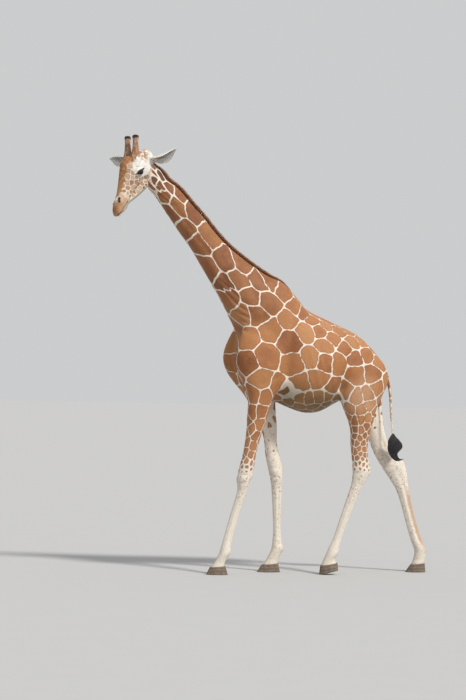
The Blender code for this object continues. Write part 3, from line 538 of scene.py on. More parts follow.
def relaxed(points, edges, rounds, factor, weight=1.0):
    """Laplacian smoothing."""
    count = len(points)
    near = np.bincount(edges.ravel(), minlength=count)[:, None]
    for _ in range(rounds):
        total = np.zeros_like(points)
        for axis in range(points.shape[1]):
            total[:, axis] = (np.bincount(edges[:, 0], points[edges[:, 1], axis], count)
                              + np.bincount(edges[:, 1], points[edges[:, 0], axis], count))
        points = points + (total / near - points) * (factor * np.asarray(weight).reshape(-1, 1))
    return points


def normals_of(points, quads):
    """Unit normals and the area that belongs to each point."""
    face = np.cross(points[quads[:, 2]] - points[quads[:, 0]], points[quads[:, 3]] - points[quads[:, 1]]) / 2
    area = np.linalg.norm(face, axis=1)
    total = np.zeros_like(points)
    share = np.zeros(len(points))
    for k in range(4):
        share += np.bincount(quads[:, k], area, len(points)) / 4
        for axis in range(3):
            total[:, axis] += np.bincount(quads[:, k], face[:, axis], len(points))
    return unit(total), share


# ---------------------------------------------------------------- where a point is on the body
def middle_line(table):
    return np.array([((a[0] + b[0]) / 2, y, (a[1] + b[1]) / 2) for a, b, y, _, _ in table])


def spread_of(table):
    return np.array([(math.dist(a, b) / 2 + half) / 2 for a, b, _, half, _ in table])


JAW_LINE = ([row[0] for row in JAW], [row[2] for row in JAW])      # underside of the jaw


def head_line():
    """Middle and size of skull and jaw together."""
    rows = []
    for u, top, low, width, _ in SKULL:
        low = min(low, np.interp(u, *JAW_LINE, left=low, right=low))
        rows.append((u, (top + low) / 2, (top - low) / 2, width))
    middles = [head_point(u, v, 0) for u, v, _, _ in rows]
    return np.array(middles), np.array([(high + wide) / 2 for _, _, high, wide in rows])


LINES = {
    "head": [rows[::-1] for rows in head_line()],
    "neck": (middle_line(NECK)[:12], spread_of(NECK)[:12]),
    "trunk": (middle_line(TRUNK), spread_of(TRUNK)),
    "tail": (middle_line(TAIL), spread_of(TAIL)),
}
for leg, table in LEG_TABLES.items():
    LINES[leg] = (middle_line(table)[4:], spread_of(table)[4:])
PARTS = list(LINES)
HAIR_SQUEEZE = 0.14         # the grain of the hair is this much finer across it than along it


def along_line(points, line, spread):
    """Length along a line, distance from it over the local size, nearest point, direction."""
    best = np.full(len(points), 1e9)
    run = np.zeros(len(points))
    foot = np.zeros_like(points)
    ahead = np.zeros_like(points)
    start = 0.0
    for a, b, ra, rb in zip(line, line[1:], spread, spread[1:]):
        reach = b - a
        length = np.linalg.norm(reach)
        t = np.clip((points - a) @ reach / length ** 2, 0, 1)
        at = a + reach * t[:, None]
        far = np.linalg.norm(points - at, axis=1) / (ra + (rb - ra) * t)
        closer = far < best
        best = np.where(closer, far, best)
        run = np.where(closer, start + length * t, run)
        foot = np.where(closer[:, None], at, foot)
        ahead = np.where(closer[:, None], reach / length, ahead)
        start += length
    return run, best, foot, ahead


def hair_axes(part):
    """Rows that turn a place into distances along the hair, drawn together, and across it."""
    line = LINES[part][0]
    along = unit(line[-1] - line[0])
    side = np.array(LEFT) if part == "head" else np.array([0.0, 1.0, 0.0])
    side = unit(side - along * (side @ along))
    return np.array([along * HAIR_SQUEEZE, side, np.cross(along, side)])


def hair_places(points, share):
    """Hair coordinates of each part, joined without a jump where the parts meet."""
    base = hair_axes("trunk")
    total = share["trunk"][:, None] * (points @ base.T)
    neck_end = LINES["neck"][0][-1]
    poll = np.array(HEAD_AT)
    at_neck = neck_end @ base.T
    at_poll = (poll - neck_end) @ hair_axes("neck").T + at_neck
    joints = {"neck": (neck_end, at_neck), "head": (poll, at_poll)}
    for part in ("tail", *LEG_TABLES):
        start = LINES[part][0][0]
        joints[part] = (start, start @ base.T)
    for part, (joint, value) in joints.items():
        total += share[part][:, None] * ((points - joint) @ hair_axes(part).T + value)
    return total


class Body:
    """The skin's points with all that later steps ask of them."""

    def __init__(self, points, quads, edges):
        self.points = points
        self.quads = quads
        self.edges = edges
        self.refresh()
        self.locate()

    def refresh(self):
        self.normals, self.area = normals_of(self.points, self.quads)
        self.head = in_head(self.points)

    def locate(self):
        """Which part each point belongs to, where along it, and how the hair lies there."""
        runs, fars, feet, aheads = zip(*(along_line(self.points, *LINES[part]) for part in PARTS))
        fars = np.array(fars)
        self.part = fars.argmin(0)
        pick = np.arange(len(self.points))
        self.run = np.array(runs)[self.part, pick]
        self.foot = np.array(feet)[self.part, pick]
        soft = np.exp(-7 * (fars - fars.min(0)))
        soft /= soft.sum(0)
        self.share = dict(zip(PARTS, soft))
        flow = sum(soft[k][:, None] * aheads[k] for k in range(len(PARTS)))
        flow = flow - self.normals * (flow * self.normals).sum(1)[:, None]
        self.flow = unit(relaxed(unit(flow), self.edges, 6, 0.5))

    def push(self, amount):
        self.points = self.points + self.normals * np.asarray(amount).reshape(-1, 1)


def blended_flesh():
    """Every loft and mass of the flesh, joined by a voxel remesh that is finest on the head."""
    bodies = [
        loft(body_rows(TRUNK), ring=44),
        loft(body_rows(NECK), ring=40),
        loft(head_rows(SKULL), ring=48, side=LEFT),
        loft(head_rows(JAW), ring=36, side=LEFT),
        loft(body_rows(TAIL), ring=16),
    ]
    bodies += [loft(body_rows(table)) for table in LEG_TABLES.values()]
    for u, v, w, a, b, c in HEAD_MASSES:
        for hand in ((1, -1) if w else (1,)):
            bodies.append(ball(head_point(u, v, w * hand), (ALONG, ABOVE, LEFT), (a, b, c)))
    for word, hand in HAND.items():
        bodies.append(ear(hand, word))
        bodies.append(loft(horn_rows(hand, ((-0.35, 1.85), (-0.05, 1.8), (0.1, 1.48), (0.22, 1.22))),
                           ring=24, side=horn_frame(hand)[3]))
    points, faces = stacked(bodies)
    points, quads, edges = remeshed(magnified(points), faces, VOXEL)
    points, quads, edges = main_shell(points, quads, edges)
    points = shrunk_back(points)
    softness = np.clip((points[:, 2] - 1.45) / 0.3, 0, 1) * np.clip((points[:, 0] + 1.2) / 0.5, 0, 1)
    tail = step(points[:, 0], 0.79, 0.84) * (points[:, 2] < 2.0)
    points = relaxed(points, edges, 4, 0.5, (1 - 0.8 * tail) * (1 - 0.8 * ear_share(points)))
    points = relaxed(points, edges, 30, 0.6, softness * (1 - tail))
    return Body(points, quads, edges)


def off_route(flat, route):
    """Distance of places in a plane from a route of points."""
    best = np.full(len(flat), 1e9)
    for a, b in zip(route, route[1:]):
        run = np.array(b) - a
        t = np.clip((flat - a) @ run / (run @ run), 0, 1)
        best = np.minimum(best, np.linalg.norm(flat - a - run * t[:, None], axis=1))
    return best


def side_line(points, route, width):
    """1 on a route of (x, z) points seen from the side, falling off over a width."""
    return bell(off_route(points[:, [0, 2]], route), width)


RIB_PITCH = 0.075           # from one rib to the next
FOLD_PITCH = 0.052          # from one fold to the next on the lower neck, at the throat and in the armpit
THROAT_PITCH = 0.034
ARMPIT_PITCH = 0.03
FLANK_FOLD = ((0.44, 2.12), (0.385, 1.98), (0.345, 1.84), (0.335, 1.76))
# muscle and skin seen from the side: route of (x, z) points, width, height; both flanks
FLANK_FORMS = (
    (((-0.27, 2.6), (-0.4, 2.36), (-0.54, 2.12)), 0.05, 0.009),                 # spine of the shoulder blade
    (((-0.12, 2.48), (-0.14, 2.3), (-0.17, 2.1), (-0.19, 1.9)), 0.045, -0.01),  # behind the shoulder
    (((-0.62, 2.32), (-0.5, 2.28), (-0.36, 2.18)), 0.035, -0.007),  # above the point of the shoulder
    (((-0.58, 2.06), (-0.44, 2.0), (-0.27, 1.92)), 0.055, 0.008),               # upper arm
    (((-0.3, 1.86), (-0.42, 1.8)), 0.03, -0.006),                               # under the upper arm
    (FLANK_FOLD, 0.024, -0.016),
    (((0.41, 1.98), (0.4, 1.82)), 0.035, 0.009),                                # front of the thigh
    (((0.4, 2.27), (0.49, 2.24)), 0.045, 0.013),                                # point of the hip
    (((0.68, 2.1), (0.645, 1.9), (0.62, 1.62)), 0.028, -0.007),                 # between the thigh's muscles
    (((0.5, 2.12), (0.56, 1.95)), 0.05, -0.005),
    (((0.77, 2.02), (0.8, 1.95)), 0.03, 0.007),                                 # point of the buttock
    (((0.05, 2.4), (0.25, 2.33), (0.4, 2.28)), 0.035, 0.004),                   # muscle beside the spine
    (((-0.92, 3.02), (-0.78, 2.8), (-0.66, 2.58)), 0.03, -0.007),               # groove of the throat
    (((-1.28, 3.46), (-1.08, 3.2), (-0.92, 3.02)), 0.022, -0.005),
    (((-0.6, 2.84), (-0.47, 2.62), (-0.4, 2.45)), 0.04, -0.006),                # front of the shoulder blade
)


def sculpt_trunk(body):
    """Muscles, ribs, folds of the neck and the flank."""
    points = body.points
    outward = np.abs(body.normals[:, 1])
    lift = np.zeros(len(points))
    for route, width, height in FLANK_FORMS:
        lift += side_line(points, route, width) * height
    x, _, z = points.T
    ribs = np.sin((x + 0.32 * z) * 2 * math.pi / RIB_PITCH)
    on_ribs = step(x, -0.05, 0.06) * step(x, 0.34, 0.24) * step(z, 1.72, 1.84) * step(z, 2.3, 2.15)
    lift += 0.0016 * ribs * on_ribs * body.share["trunk"]
    folds = x * 0.62 + z * 0.78
    wave = np.sin(folds * 2 * math.pi / FOLD_PITCH + 1.4 * np.sin(x * 17) + 0.8 * np.sin(z * 23))
    throat = step(body.normals @ np.array([-0.8, 0.0, -0.6]), -0.15, 0.55)
    low_neck = step(z, 2.2, 2.32) * step(z, 2.84, 2.66) * step(x, -0.48, -0.56) * throat
    lift += 0.0055 * np.minimum(wave, 0.35) * low_neck
    high = step(z, 3.72, 3.62) * step(z, 3.42, 3.54) * body.share["neck"] * throat
    lift += 0.0025 * np.sin(folds * 2 * math.pi / THROAT_PITCH) * high
    armpit = bell(np.hypot(x + 0.2, z - 1.7), 0.08) * np.sin((x - z) * 2 * math.pi / ARMPIT_PITCH)
    lift += 0.003 * armpit
    body.push(lift * step(outward, 0.05, 0.45))
    body.refresh()


def leg_places(body, leg):
    """Share of a leg, place from its front (0) to its rear (1), height and outward side."""
    rows = sorted(((a[1] + b[1]) / 2, a[0], b[0], y) for a, b, y, _, _ in LEG_TABLES[leg][3:])
    x, y, z = body.points.T
    front, rear, middle = sampled(z, [row[0] for row in rows], [row[1:] for row in rows]).T
    return body.share[leg], (x - front) / (rear - front), z, (y - middle) * np.sign(middle)


# heights of knee or hock and fetlock of each leg
JOINTS = {"front_left": (0.9, 0.215), "front_right": (0.95, 0.235),
          "hind_left": (1.01, 0.205), "hind_right": (1.06, 0.235)}


def sculpt_legs(body):
    """Tendons, knees, hocks and fetlocks."""
    lift = np.zeros(len(body.points))
    for leg, (knee, fetlock) in JOINTS.items():
        own, place, z, out = leg_places(body, leg)
        flank = np.abs(body.normals[:, 1])
        cannon = step(z, fetlock + 0.04, fetlock + 0.12) * step(z, knee - 0.08, knee - 0.16)
        lift -= own * 0.0055 * cannon * bell(place - 0.6, 0.1) * flank
        lift += own * 0.002 * cannon * bell(place - 0.82, 0.12) * flank
        lift -= own * 0.003 * cannon * bell(place - 0.18, 0.1) * flank
        bones = bell(z - knee - 0.045, 0.016) + bell(z - knee + 0.04, 0.014)
        front = step(place, 0.75, 0.45)
        if leg.startswith("front"):
            lift -= own * 0.0035 * bones * front
            lift += own * 0.006 * bell(z - knee - 0.015, 0.03) * bell(place - 0.35, 0.25) * flank
            lift += own * 0.007 * bell(z - knee - 0.03, 0.03) * step(place, 0.75, 1.0)
            arm = step(z, knee + 0.12, knee + 0.25) * step(z, 1.72, 1.55)
            lift -= own * 0.005 * arm * bell(place - 0.55 - 0.1 * (z - 1.3), 0.09) * flank
            lift += own * 0.0035 * arm * bell(place - 0.25, 0.2) * flank
        else:
            hollow = step(z, knee + 0.03, knee + 0.08) * step(z, knee + 0.3, knee + 0.18)
            lift -= own * 0.011 * hollow * bell(place - 0.66, 0.13) * flank
            lift += own * 0.005 * bell(z - knee + 0.035, 0.035) * bell(place - 0.4, 0.25) * flank
            lift -= own * 0.003 * bones * front
            calf = step(z, knee + 0.22, knee + 0.36) * step(z, 1.72, 1.58)
            lift -= own * 0.005 * calf * bell(place - 0.5, 0.1) * flank
        lift += own * 0.006 * bell(z - fetlock, 0.032) * bell(place - 0.85, 0.22)
        lift += own * 0.003 * bell(z - fetlock - 0.005, 0.035) * bell(place - 0.35, 0.25) * flank
        lift -= own * 0.004 * bell(z - fetlock + 0.055, 0.02) * step(place, 0.4, 0.8)
        toes = step(z, fetlock + 0.01, fetlock - 0.07)
        lift -= own * 0.008 * toes * bell(out, 0.01) * step(place, 0.45, 0.15)
        lift -= own * 0.007 * toes * bell(out, 0.01) * step(place, 0.6, 0.9)
    body.push(lift)
    body.refresh()


# forms of each side of the head: along, above, beside, three half sizes, height
HEAD_FORMS = (
    (0.11, -0.1, 0.06, 0.07, 0.06, 0.05, 0.005),       # cheek muscle
    (0.045, -0.135, 0.06, 0.022, 0.07, 0.05, -0.007),  # behind the jaw
    (0.14, 0.048, 0.09, 0.035, 0.026, 0.04, -0.007),   # temple
    (0.208, 0.06, 0.085, 0.045, 0.014, 0.04, 0.006),   # brow
    (0.34, -0.078, 0.05, 0.075, 0.024, 0.04, -0.006),  # under the facial crest
    (0.4, 0.02, 0.05, 0.075, 0.024, 0.04, -0.005),     # beside the nose
    (0.3, -0.035, 0.065, 0.09, 0.013, 0.04, 0.005),    # facial crest
    (0.545, 0.006, 0.05, 0.042, 0.02, 0.03, 0.005),    # wing of the nostril
    (0.5, -0.045, 0.045, 0.035, 0.016, 0.03, -0.0025),
    (0.62, -0.04, 0.032, 0.03, 0.022, 0.03, 0.004),    # upper lip
    (0.585, -0.08, 0.02, 0.03, 0.01, 0.03, 0.001),     # lower lip
    (0.18, 0.125, 0.03, 0.04, 0.03, 0.03, 0.004),      # edge of the forehead boss
)
NOSTRIL = ((0.527, 0.038), (0.546, 0.036), (0.561, 0.027))   # slit, along and above
MOUTH = ((0.445, -0.064), (0.5, -0.059), (0.56, -0.051), (0.62, -0.04), (0.664, -0.034))


def sculpt_head(body):
    """Cheek, temple, brow, facial crest, lips, nostrils and the line of the mouth."""
    on_ear = ear_share(body.points)
    u, v, w = body.head.T
    beside = np.abs(w)
    near = step(u, -0.1, 0.0) * (1 - on_ear) * body.share["head"]
    lift = np.zeros(len(body.points))
    for u0, v0, w0, su, sv, sw, height in HEAD_FORMS:
        lift += height * bell(u - u0, su) * bell(v - v0, sv) * bell(beside - w0, sw)
    lift -= 0.004 * bell(w, 0.008) * step(u, 0.615, 0.645) * step(v, 0.02, 0.0)
    side = step(np.abs(body.normals @ HEAD_AXES[2]), 0.15, 0.5)
    mouth = off_route(body.head[:, :2], MOUTH)
    reach = step(u, 0.44, 0.47)
    lift += reach * (0.0022 * bell(mouth - 0.01, 0.006) - 0.006 * bell(mouth, 0.0042))
    slit = off_route(body.head[:, :2], NOSTRIL)
    upper = step(beside, 0.014, 0.024)
    lift += upper * (0.0045 * bell(slit - 0.013, 0.006) - 0.015 * bell(slit, 0.0062))
    body.nostril = upper * bell(slit, 0.0075) * near
    body.mouth = reach * bell(mouth, 0.006) * near
    folds = np.sin((u * 0.5 + v) * 2 * math.pi / 0.011)
    lift += 0.0006 * folds * bell(u - 0.47, 0.02) * bell(v + 0.062, 0.02) * side
    body.push(lift * near)
    body.refresh()


def out_along_ear(points, hand, word):
    """How far out along an ear each point lies, and how far beside its line."""
    root, aim, _, _ = ear_frame(hand, word)
    out = (points - root) @ aim
    return out, np.linalg.norm(points - root - aim * out[:, None], axis=1)


def ear_share(points):
    """1 on the ears, 0 on the rest."""
    share = np.zeros(len(points))
    for word, hand in HAND.items():
        out, aside = out_along_ear(points, hand, word)
        share = np.maximum(share, step(out, 0.035, 0.075) * (aside < 0.1) * (out < 0.31))
    return share


# ---------------------------------------------------------------- eyes
EYE_LONG = 0.028            # half length and heights of the opening between the lids
EYE_UP = 0.0125
EYE_DOWN = 0.012
LID_THICK = 0.003
EYE_DARK = (0.05, 0.0225)   # half length and height of the dark skin round the lids, widened with painted shadow of the lashes and brow


def eye_frame(word):
    """Middle and radius of an eye, and its directions outward, forward and up."""
    low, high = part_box("eye_" + word)
    middle = np.array((low + high) / 2) - SHIFT
    radius = (high.z - low.z) / 2
    hand = HAND[word]
    outward = np.array((LEFT * hand + ALONG * 0.16 + ABOVE * 0.1).normalized())
    forward = np.array((ALONG * 0.74 + ABOVE * 0.67).normalized())
    forward = unit(forward - outward * (forward @ outward))
    up = np.cross(outward, forward) * hand
    return middle, radius, outward, forward, -up


def lid_measure(q, p):
    """Distance outside the opening between the lids; negative inside it."""
    arch = 1 - (q / EYE_LONG) ** 2
    skew = 1 - 0.25 * q / EYE_LONG
    return np.maximum(p - EYE_UP * arch * skew, -p - EYE_DOWN * arch)


def sculpt_lids(body):
    """Draws the skin over each eyeball and opens it between two thick lids."""
    body.lash = np.zeros(len(body.points))
    body.corner = np.zeros(len(body.points))
    body.under_eye = np.zeros(len(body.points))
    for word in HAND:
        middle, radius, outward, forward, up = eye_frame(word)
        for again in range(2):
            offset = body.points - middle
            q = offset @ forward
            p = offset @ up
            out = offset @ outward
            near = (out > -0.004) & (np.hypot(q, p) < 0.062) & (np.linalg.norm(offset, axis=1) < 0.075)
            outside = lid_measure(q, p)
            tilted = p + 0.2 * q - 0.003
            almond = np.sqrt(((q + 0.005) / EYE_DARK[0]) ** 2 + (tilted / EYE_DARK[1]) ** 2)
            if again == 0:
                edge = near & (np.abs(outside) < 0.0026) & (np.abs(q) < EYE_LONG * 1.05)
                shift = np.where(edge, (0.0006 - outside) * np.sign(p), 0.0)
                body.points = body.points + up * shift[:, None]
        reach = np.linalg.norm(offset, axis=1)
        lid = radius + LID_THICK
        lid = lid + 0.0016 * bell(outside - 0.004, 0.0035)
        lid = lid - 0.0018 * bell(outside - 0.012, 0.003) * (p > 0)
        lid = lid - 0.0016 * bell(outside - 0.011, 0.003) * (p < 0)
        hold = step(outside, 0.03, 0.006) * step(out, 0.0, 0.01)
        wanted = reach + (np.maximum(lid, 0) - reach) * hold
        wanted = np.where(outside < 0, radius - 0.007, wanted)
        body.points = np.where(near[:, None], middle + offset / reach[:, None] * wanted[:, None], body.points)
        around = (np.hypot(q, p) < 0.085) & (out > -0.035)
        rim = bell(np.maximum(outside, 0), 0.004)
        # dark skin round the lids, widened with painted shadow of the lashes and brow
        body.lash = np.maximum(body.lash, near * np.maximum(step(almond, 1.12, 0.88), rim))
        front = bell(p + 0.16 * q + 0.002, 0.006) * step(q, 0.076, 0.046) * step(q, 0.018, 0.026)
        rear = bell(p - 0.004 + 0.45 * (q + 0.018), 0.0105) * step(-q, 0.074, 0.056) * step(-q, 0.018, 0.026)
        body.corner = np.maximum(body.corner, around * np.maximum(front, rear))
        under = around * bell(p + 0.036, 0.012) * bell(q - 0.004, 0.03)
        body.under_eye = np.maximum(body.under_eye, under)
    body.refresh()


def build_skin():
    body = blended_flesh()
    sculpt_trunk(body)
    sculpt_legs(body)
    sculpt_head(body)
    sculpt_lids(body)
    depth = COAT_DEPTH * (1 - 0.5 * body.share["head"])
    depth = depth * step(body.points[:, 2], 0.05, 0.3) ** 0.5
    depth = depth * (1 - ear_share(body.points)) * (1 - (body.lash > 0.05))
    body.push(-depth)
    body.refresh()
    return body


# ---------------------------------------------------------------- markings
# middles (x, z) of the large patches of the flank, neck and upper legs: picked by eye in the photo, then
# worked out on the CAD mesh by a scratch program; report.md says so too
NECK_PATCHES = (
    (-1.09, 3.41), (-1.16, 3.24), (-0.93, 3.19), (-1.03, 3.11), (-0.77, 2.97), (-0.93, 2.89),
    (-0.6, 2.93), (-0.45, 2.79), (-0.63, 2.78), (-0.76, 2.72), (-0.31, 2.77),
)
TRUNK_PATCHES = (
    (-0.2, 2.7), (-0.35, 2.57), (-0.53, 2.63), (-0.71, 2.62), (-0.6, 2.45), (-0.46, 2.46),
    (-0.34, 2.31), (-0.17, 2.41), (-0.07, 2.53), (-0.01, 2.49), (0.0, 2.3), (0.09, 2.41), (0.15, 2.31),
    (0.22, 2.36), (0.27, 2.25), (0.34, 2.32), (0.17, 2.17), (-0.16, 2.2), (-0.56, 2.23), (-0.39, 2.07),
    (-0.58, 1.99), (-0.13, 1.98), (0.04, 2.06), (0.17, 2.02), (0.3, 2.02), (0.39, 2.15), (0.1, 1.85),
    (-0.06, 1.81), (0.27, 1.76), (-0.45, 1.83), (-0.05, 1.67), (0.04, 1.65), (0.13, 1.67), (0.22, 1.69),
)
THIGH_PATCHES = (
    (0.44, 2.32), (0.46, 2.21), (0.48, 2.07), (0.58, 2.22), (0.61, 2.1), (0.49, 1.91), (0.64, 1.91),
    (0.74, 2.03), (0.39, 1.74), (0.49, 1.69), (0.6, 1.71), (0.7, 1.77), (-0.5, 1.69), (-0.39, 1.67),
    (-0.51, 1.53), (-0.43, 1.53), (-0.51, 1.37), (-0.43, 1.42),
)
# middles of the patches under the ear and down the upper neck, on the left side
UPPER_PATCHES = (
    (-1.4, -0.185, 3.74), (-1.425, -0.202, 3.64), (-1.33, -0.19, 3.65), (-1.38, -0.19, 3.545),
    (-1.223, -0.166, 3.567), (-1.253, -0.185, 3.464), (-1.305, -0.16, 3.385), (-1.365, -0.12, 3.72),
    (-1.48, -0.2, 3.7),
)
# middles (along, below the head line) of the cells of each cheek
CHEEK_PATCHES = (
    (0.29, 0.034), (0.293, -0.033), (0.333, 0.016), (0.331, -0.065), (0.254, -0.099), (0.229, -0.15),
    (0.16, -0.123), (0.359, 0.045), (0.447, 0.026), (0.406, -0.033), (0.189, -0.097), (0.114, -0.124),
    (0.197, -0.166), (0.37, -0.078), (0.253, -0.052), (0.3, -0.11), (0.275, -0.155), (0.12, -0.17),
    (0.174, -0.113), (0.143, -0.14), (0.222, -0.135),
)
NECK_AXIS = unit(np.array([0.65, 0.0, -0.76]))
NECK_FOOT = np.array([-0.5, 0.0, 2.6])
NECK_SQUEEZE = 0.36         # patches of the neck are drawn out along it
TURN_SPREAD = 0.06          # metres that a full change of facing counts for
LEG_SPLIT = 0.15            # x between the front and the hind legs
LEG_CELLS = (               # heights and widths of the cells there, on the front and the hind legs
    ((0.9, 1.0, 1.15, 1.35, 1.55, 1.75, 2.0), (0.042, 0.05, 0.075, 0.095, 0.115, 0.16, 0.2)),
    ((0.95, 1.1, 1.3, 1.5, 1.65, 1.8, 2.1), (0.042, 0.05, 0.062, 0.08, 0.11, 0.155, 0.19)),
)
CELL_SPARE = 0.86           # least distance of two seeds, in cell sizes
CELL_TRIES = 26000          # points of the skin that are tried as further seeds
BLOCK = 0.14                # the search for the nearest seeds goes block by block
CELL_REACH = 0.42           # and looks this far round a block


def pattern_place(body):
    """Place in the space where the cells of the net are equally wide in all directions."""
    place = body.points.copy()
    far = (place - NECK_FOOT) @ NECK_AXIS
    poll = (np.array(HEAD_AT) - NECK_FOOT) @ NECK_AXIS
    far = body.share["neck"] * far + body.share["head"] * poll
    place -= (NECK_SQUEEZE * far)[:, None] * NECK_AXIS
    turn = TURN_SPREAD * (1 - 0.75 * np.clip(1.4 * body.share["head"], 0, 1))
    return np.hstack([place, body.normals * turn[:, None]])


def cell_size(body):
    """Width of the cells in the pattern's space."""
    x, y, z = body.points.T
    rise = body.normals[:, 2]
    size = np.full(len(x), 0.2)
    trunk = body.share["trunk"]
    size -= 0.085 * trunk * step(rise, 0.25, 0.85) * step(x, -0.25, 0.0)
    size -= 0.1 * trunk * step(rise, -0.3, -0.7)
    neck = body.share["neck"] * step(y, 0.1, 0.0) + body.share["neck"] * step(z, 2.62, 2.75)
    size = size * (1 - body.share["neck"]) + 0.15 * body.share["neck"]
    size += 0.14 * np.clip(neck, 0, 1)
    lower = np.where(x < LEG_SPLIT, *(np.interp(z, *rows) for rows in LEG_CELLS))
    on_leg = sum(body.share[leg] for leg in LEG_TABLES)
    size = np.minimum(size, size * (1 - on_leg) + lower * on_leg)
    size = np.where(z < 1.6, lower, size)
    face = step(body.share["head"], 0.35, 0.65)
    size = size * (1 - face) + 0.044 * face
    return size * (1 - body.share["tail"]) + 0.036 * body.share["tail"]


def flank_seeds(body, centres, hand, jitter=0.0):
    """The skin's point nearest to each patch middle, on the left (1) or the right flank (-1)."""
    outer = np.flatnonzero((body.normals[:, 1] * hand < 0.05) & (body.share["head"] < 0.35))
    found = []
    for x, z in centres:
        at = np.array([x, z]) + RNG.normal(0, 1, 2) * jitter
        gap = np.hypot(body.points[outer, 0] - at[0], body.points[outer, 2] - at[1])
        depth = body.points[outer, 1] * hand
        found.append(outer[np.argmin(gap + 0.12 * depth)])
    return found


def upper_seeds(body):
    """The skin's points nearest to the patches of the upper neck, and their mirror images."""
    neck = LINES["neck"][0]
    found = []
    for spot in UPPER_PATCHES:
        spot = np.array(spot)
        middle = neck[np.linalg.norm(neck - spot, axis=1).argmin()]
        for side in (spot, spot * (1, -1, 1) + (0, 2 * middle[1], 0)):
            found.append(np.linalg.norm(body.points - side, axis=1).argmin())
    return found


def cheek_seeds(body):
    """The skin's points nearest to the middles of the cheek cells, on both sides of the head."""
    found = []
    for hand in (1, -1):
        able = np.flatnonzero((body.share["head"] > 0.5) & (body.head[:, 2] * hand > 0.015))
        for u, v in CHEEK_PATCHES:
            gap = np.hypot(body.head[able, 0] - u, body.head[able, 1] - v)
            found.append(able[np.argmin(gap - 0.2 * body.head[able, 2] * hand)])
    return found


def nearest_cells(places, seeds, count):
    """The nearest seeds of each place and their distances, squared."""
    total = len(places)
    order = np.empty((total, count), np.int32)
    gaps = np.empty((total, count))
    size = (seeds ** 2).sum(1)
    block = np.floor(places[:, :3] / BLOCK).astype(int) @ np.array([1, 1000, 1000000])
    rank = np.argsort(block, kind="stable")
    cuts = np.flatnonzero(np.diff(block[rank])) + 1
    for mine in np.split(rank, cuts):
        some = places[mine]
        low = some[:, :3].min(0) - CELL_REACH
        high = some[:, :3].max(0) + CELL_REACH
        able = np.flatnonzero(((seeds[:, :3] > low) & (seeds[:, :3] < high)).all(1))
        far = (some ** 2).sum(1)[:, None] + size[able] - 2 * some @ seeds[able].T
        pick = np.argpartition(far, count, axis=1)[:, :count]
        here = np.take_along_axis(far, pick, 1)
        sort = here.argsort(1)
        order[mine] = able[np.take_along_axis(pick, sort, 1)]
        gaps[mine] = np.take_along_axis(here, sort, 1)
    return order, np.maximum(gaps, 0)


def settled_seeds(body, place, size):
    """Seeds of the cells: the chosen ones, and as many more as the rest of the skin has room for."""
    chosen = flank_seeds(body, NECK_PATCHES + TRUNK_PATCHES + THIGH_PATCHES, 1)
    chosen += flank_seeds(body, NECK_PATCHES + TRUNK_PATCHES + THIGH_PATCHES, -1, 0.035)
    chosen += upper_seeds(body)
    chosen += cheek_seeds(body)
    fixed = len(chosen)
    weight = body.area / size ** 2
    tries = RNG.choice(len(size), CELL_TRIES, replace=False, p=weight / weight.sum())
    seeds = np.empty((len(chosen) + len(tries), 6))
    seeds[:fixed] = place[chosen]
    count = fixed
    for k in tries:
        if ((seeds[:count] - place[k]) ** 2).sum(1).min() > (CELL_SPARE * size[k]) ** 2:
            seeds[count] = place[k]
            count += 1
    seeds = seeds[:count]
    some = np.arange(0, len(size), 4)
    for _ in range(3):
        cell = nearest_cells(place[some], seeds, 2)[0][:, 0]
        share = np.bincount(cell, weight[some], count)
        middle = np.stack([np.bincount(cell, weight[some] * place[some, k], count) for k in range(6)], 1)
        middle /= np.maximum(share, 1e-12)[:, None]
        seeds[fixed:] = np.where(share[fixed:, None] > 0, middle[fixed:], seeds[fixed:])
    return seeds


def smooth_noise(points, size, seed):
    """Soft random values from -1 to 1, made of a few crossing waves."""
    draw = np.random.default_rng(seed)
    total = np.zeros(len(points))
    for _ in range(7):
        wave = unit(draw.normal(0, 1, 3)) * 2 * math.pi / (size * draw.uniform(0.7, 1.5))
        total += np.sin(points @ wave + draw.uniform(0, 2 * math.pi))
    return total / 3.2


def net_of_lines(body):
    """Distance inside each cell from the middle of the nearest line, and the cell's number."""
    place = pattern_place(body)
    for k in range(3):
        place[:, k] += 0.005 * smooth_noise(body.points, 0.1, 40 + k) * step(body.points[:, 2], 0.9, 1.6)
    size = cell_size(body)
    seeds = settled_seeds(body, place, size)
    order, gaps = nearest_cells(place, seeds, 5)
    first = seeds[order[:, 0]]
    inside = np.empty((len(place), 4))
    slope = np.empty((len(place), 3))
    for k in range(1, 5):
        across = seeds[order[:, k]] - first
        width = np.maximum(np.linalg.norm(across, axis=1), 1e-6)
        inside[:, k - 1] = (gaps[:, k] - gaps[:, 0]) / (2 * width)
        if k == 1:
            slope = across[:, :3] / width[:, None]
    soft = (0.045 * np.minimum(size, 0.18) * (1 - 0.5 * body.share["neck"]))[:, None]
    edge = -(soft * np.log(np.exp(-np.minimum(inside / soft, 60)).sum(1, keepdims=True)))[:, 0]
    a, b = body.edges.T
    length = np.linalg.norm(body.points[a] - body.points[b], axis=1)
    same = order[a, 0] == order[b, 0]
    steep = np.where(same, ((edge[a] - edge[b]) / np.maximum(length, 1e-5)) ** 2, 0)
    near = np.bincount(a, same, len(edge)) + np.bincount(b, same, len(edge))
    steep = (np.bincount(a, steep, len(edge)) + np.bincount(b, steep, len(edge))) / np.maximum(near, 1)
    steep = relaxed(np.sqrt(2 * steep)[:, None], body.edges, 3, 0.6)[:, 0]
    edge = edge / np.clip(steep, 0.55, 1.6)
    crossing = np.abs(slope @ NECK_AXIS)
    return edge, order[:, 0], crossing


def zone(colour, mask, other):
    """Mixes another colour, or the points' other colours, into their colours by a mask."""
    mask = np.clip(mask, 0, 1)[:, None]
    return colour * (1 - mask) + np.array(other) * mask


def layered(colour, *coats):
    """One colour with others laid over it, each with its mask."""
    colour = np.array(colour)
    for mask, other in coats:
        colour = zone(colour, mask, other)
    return colour


